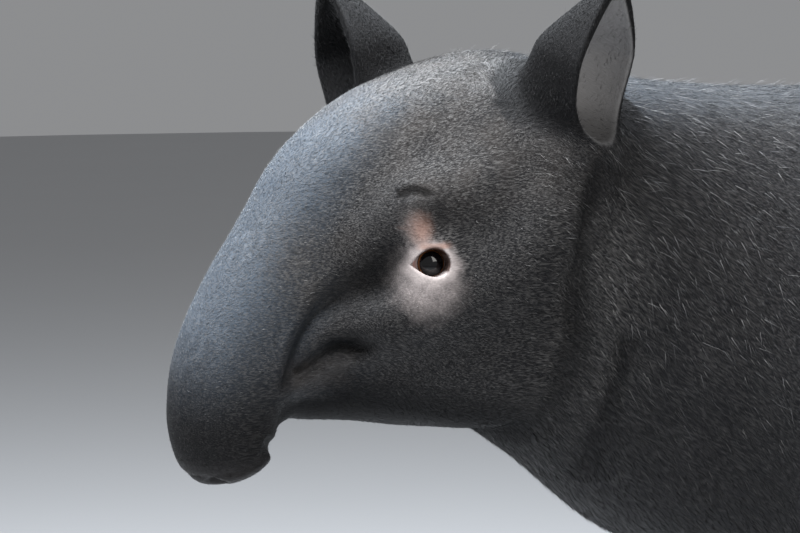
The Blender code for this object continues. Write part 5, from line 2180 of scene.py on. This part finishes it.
@dataclass
class Studio:
    """The pale floor, the soft lights and the camera."""

    azimuth: float = math.radians(-15)
    elevation: float = math.radians(8)
    distance: float = 3.0
    pixel: float = 0.00085
    photo_size: tuple[int, int] = (800, 533)
    head_pixel: tuple[float, float] = (358, 250)
    sensor: float = 36
    lit_place: Triple = (-0.5, -0.1, 0.75)
    room: Colour = (0.78, 0.79, 0.81, 1)
    room_strength: float = 0.34
    lights: Sequence[tuple[Triple, float, float, Colour]] = (
        ((-1.5, -0.5, 3.0), 1.3, 150.0, (0.93, 0.96, 1.0, 1)),
        ((1.2, -2.6, 2.4), 1.6, 32.0, (1.0, 0.97, 0.93, 1)),
        ((-0.3, 1.1, 2.9), 1.5, 160.0, (0.88, 0.94, 1.0, 1)),
    )

    def build(self) -> None:
        """Sets the stage."""
        mesh = bmesh.new()
        bmesh.ops.create_circle(mesh, cap_ends=True, segments=96, radius=9.0)
        floor = linked("floor", mesh_of("floor", mesh))
        floor.data.materials.append(Ground("pale_floor").material())
        for number, (place, size, power, colour) in enumerate(self.lights):
            lamp = bpy.data.lights.new(f"softbox_{number}", "AREA")
            lamp.size = size
            lamp.energy = power
            lamp.color = colour[:3]
            box = linked(f"softbox_{number}", lamp)
            box.location = place
            aim = Vector(self.lit_place) - box.location
            box.rotation_euler = aim.to_track_quat("-Z", "Y").to_euler()
        world = bpy.data.worlds.new("room")
        world.use_nodes = True
        air = world.node_tree.nodes["Background"].inputs
        air["Color"].default_value = self.room
        air["Strength"].default_value = self.room_strength
        bpy.context.scene.world = world
        bpy.context.scene.view_settings.view_transform = "Standard"
        self.camera()

    def camera(self) -> None:
        """Looks at the head from the photograph's side."""
        a, e = self.azimuth, self.elevation
        right = Vector((math.cos(a), math.sin(a), 0))
        back = Vector((math.sin(a) * math.cos(e), -math.cos(a) * math.cos(e), math.sin(e)))
        up = back.cross(right)
        across = self.photo_size[0] / 2 - self.head_pixel[0]
        down = self.photo_size[1] / 2 - self.head_pixel[1]
        target = Vector(HEAD_ORIGIN) + right * across * self.pixel - up * down * self.pixel
        lens = bpy.data.cameras.new("camera")
        lens.sensor_width = self.sensor
        lens.lens = self.sensor * self.distance / (self.photo_size[0] * self.pixel)
        eye = linked("camera", lens)
        eye.location = target + back * self.distance
        eye.rotation_euler = back.to_track_quat("Z", "Y").to_euler()
        bpy.context.scene.camera = eye


def dress(piece: bpy.types.Object) -> None:
    """Has a piece ride on the body."""
    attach(piece, "root")


def main() -> None:
    """Builds the animal over its frame, and the stage round it."""
    logging.basicConfig(level=logging.INFO, format="%(relativeCreated)d %(message)s")
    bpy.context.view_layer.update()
    trunk, legs, head, ears = Trunk(), Legs(), Head(), Ears()
    coat = Coat(head, ears)
    skin = Skin(trunk, legs, head, ears, coat).build()
    skin.data.materials.append(Hide("hide", 0.55, specular=0.16).material())
    dress(skin)
    flesh = [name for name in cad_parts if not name.startswith(("eye", "hoof"))]
    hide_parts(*flesh)
    hair = Hide("short_hair", 0.42, strands=True, sheen=0.03, specular=0.30).material()
    straight = Spike.STRAIGHT.build()
    for zone in range(skin.data["zones"]):
        piece = Brush(f"coat_{zone + 1}", straight, zone, hair).lay(skin)
        dress(piece)
    stray = Hide("stray_hair", 0.42, strands=True, specular=0.30, black=(0.15, 0.15, 0.155, 1),
                 frosted=(0.42, 0.41, 0.40, 1)).material()
    guard = Brush("guard_hair", Spike.BENT.build(), -1, stray, "frost", 1.5, 0.014, 0.28, 0.60, 91).lay(skin)
    dress(guard)
    for side in Side:
        Eyeball(head, side).build()
        LOG.info("eye: %s", side.name.lower())
    horn = Horn("horn").material()
    for leg in legs.stride:
        for number in range(1, len(legs.toes(leg)) + 1):
            Hoof(legs, leg, number, horn).build()
    LOG.info("hooves done")
    Studio().build()


if __name__ == "__main__":
    main()
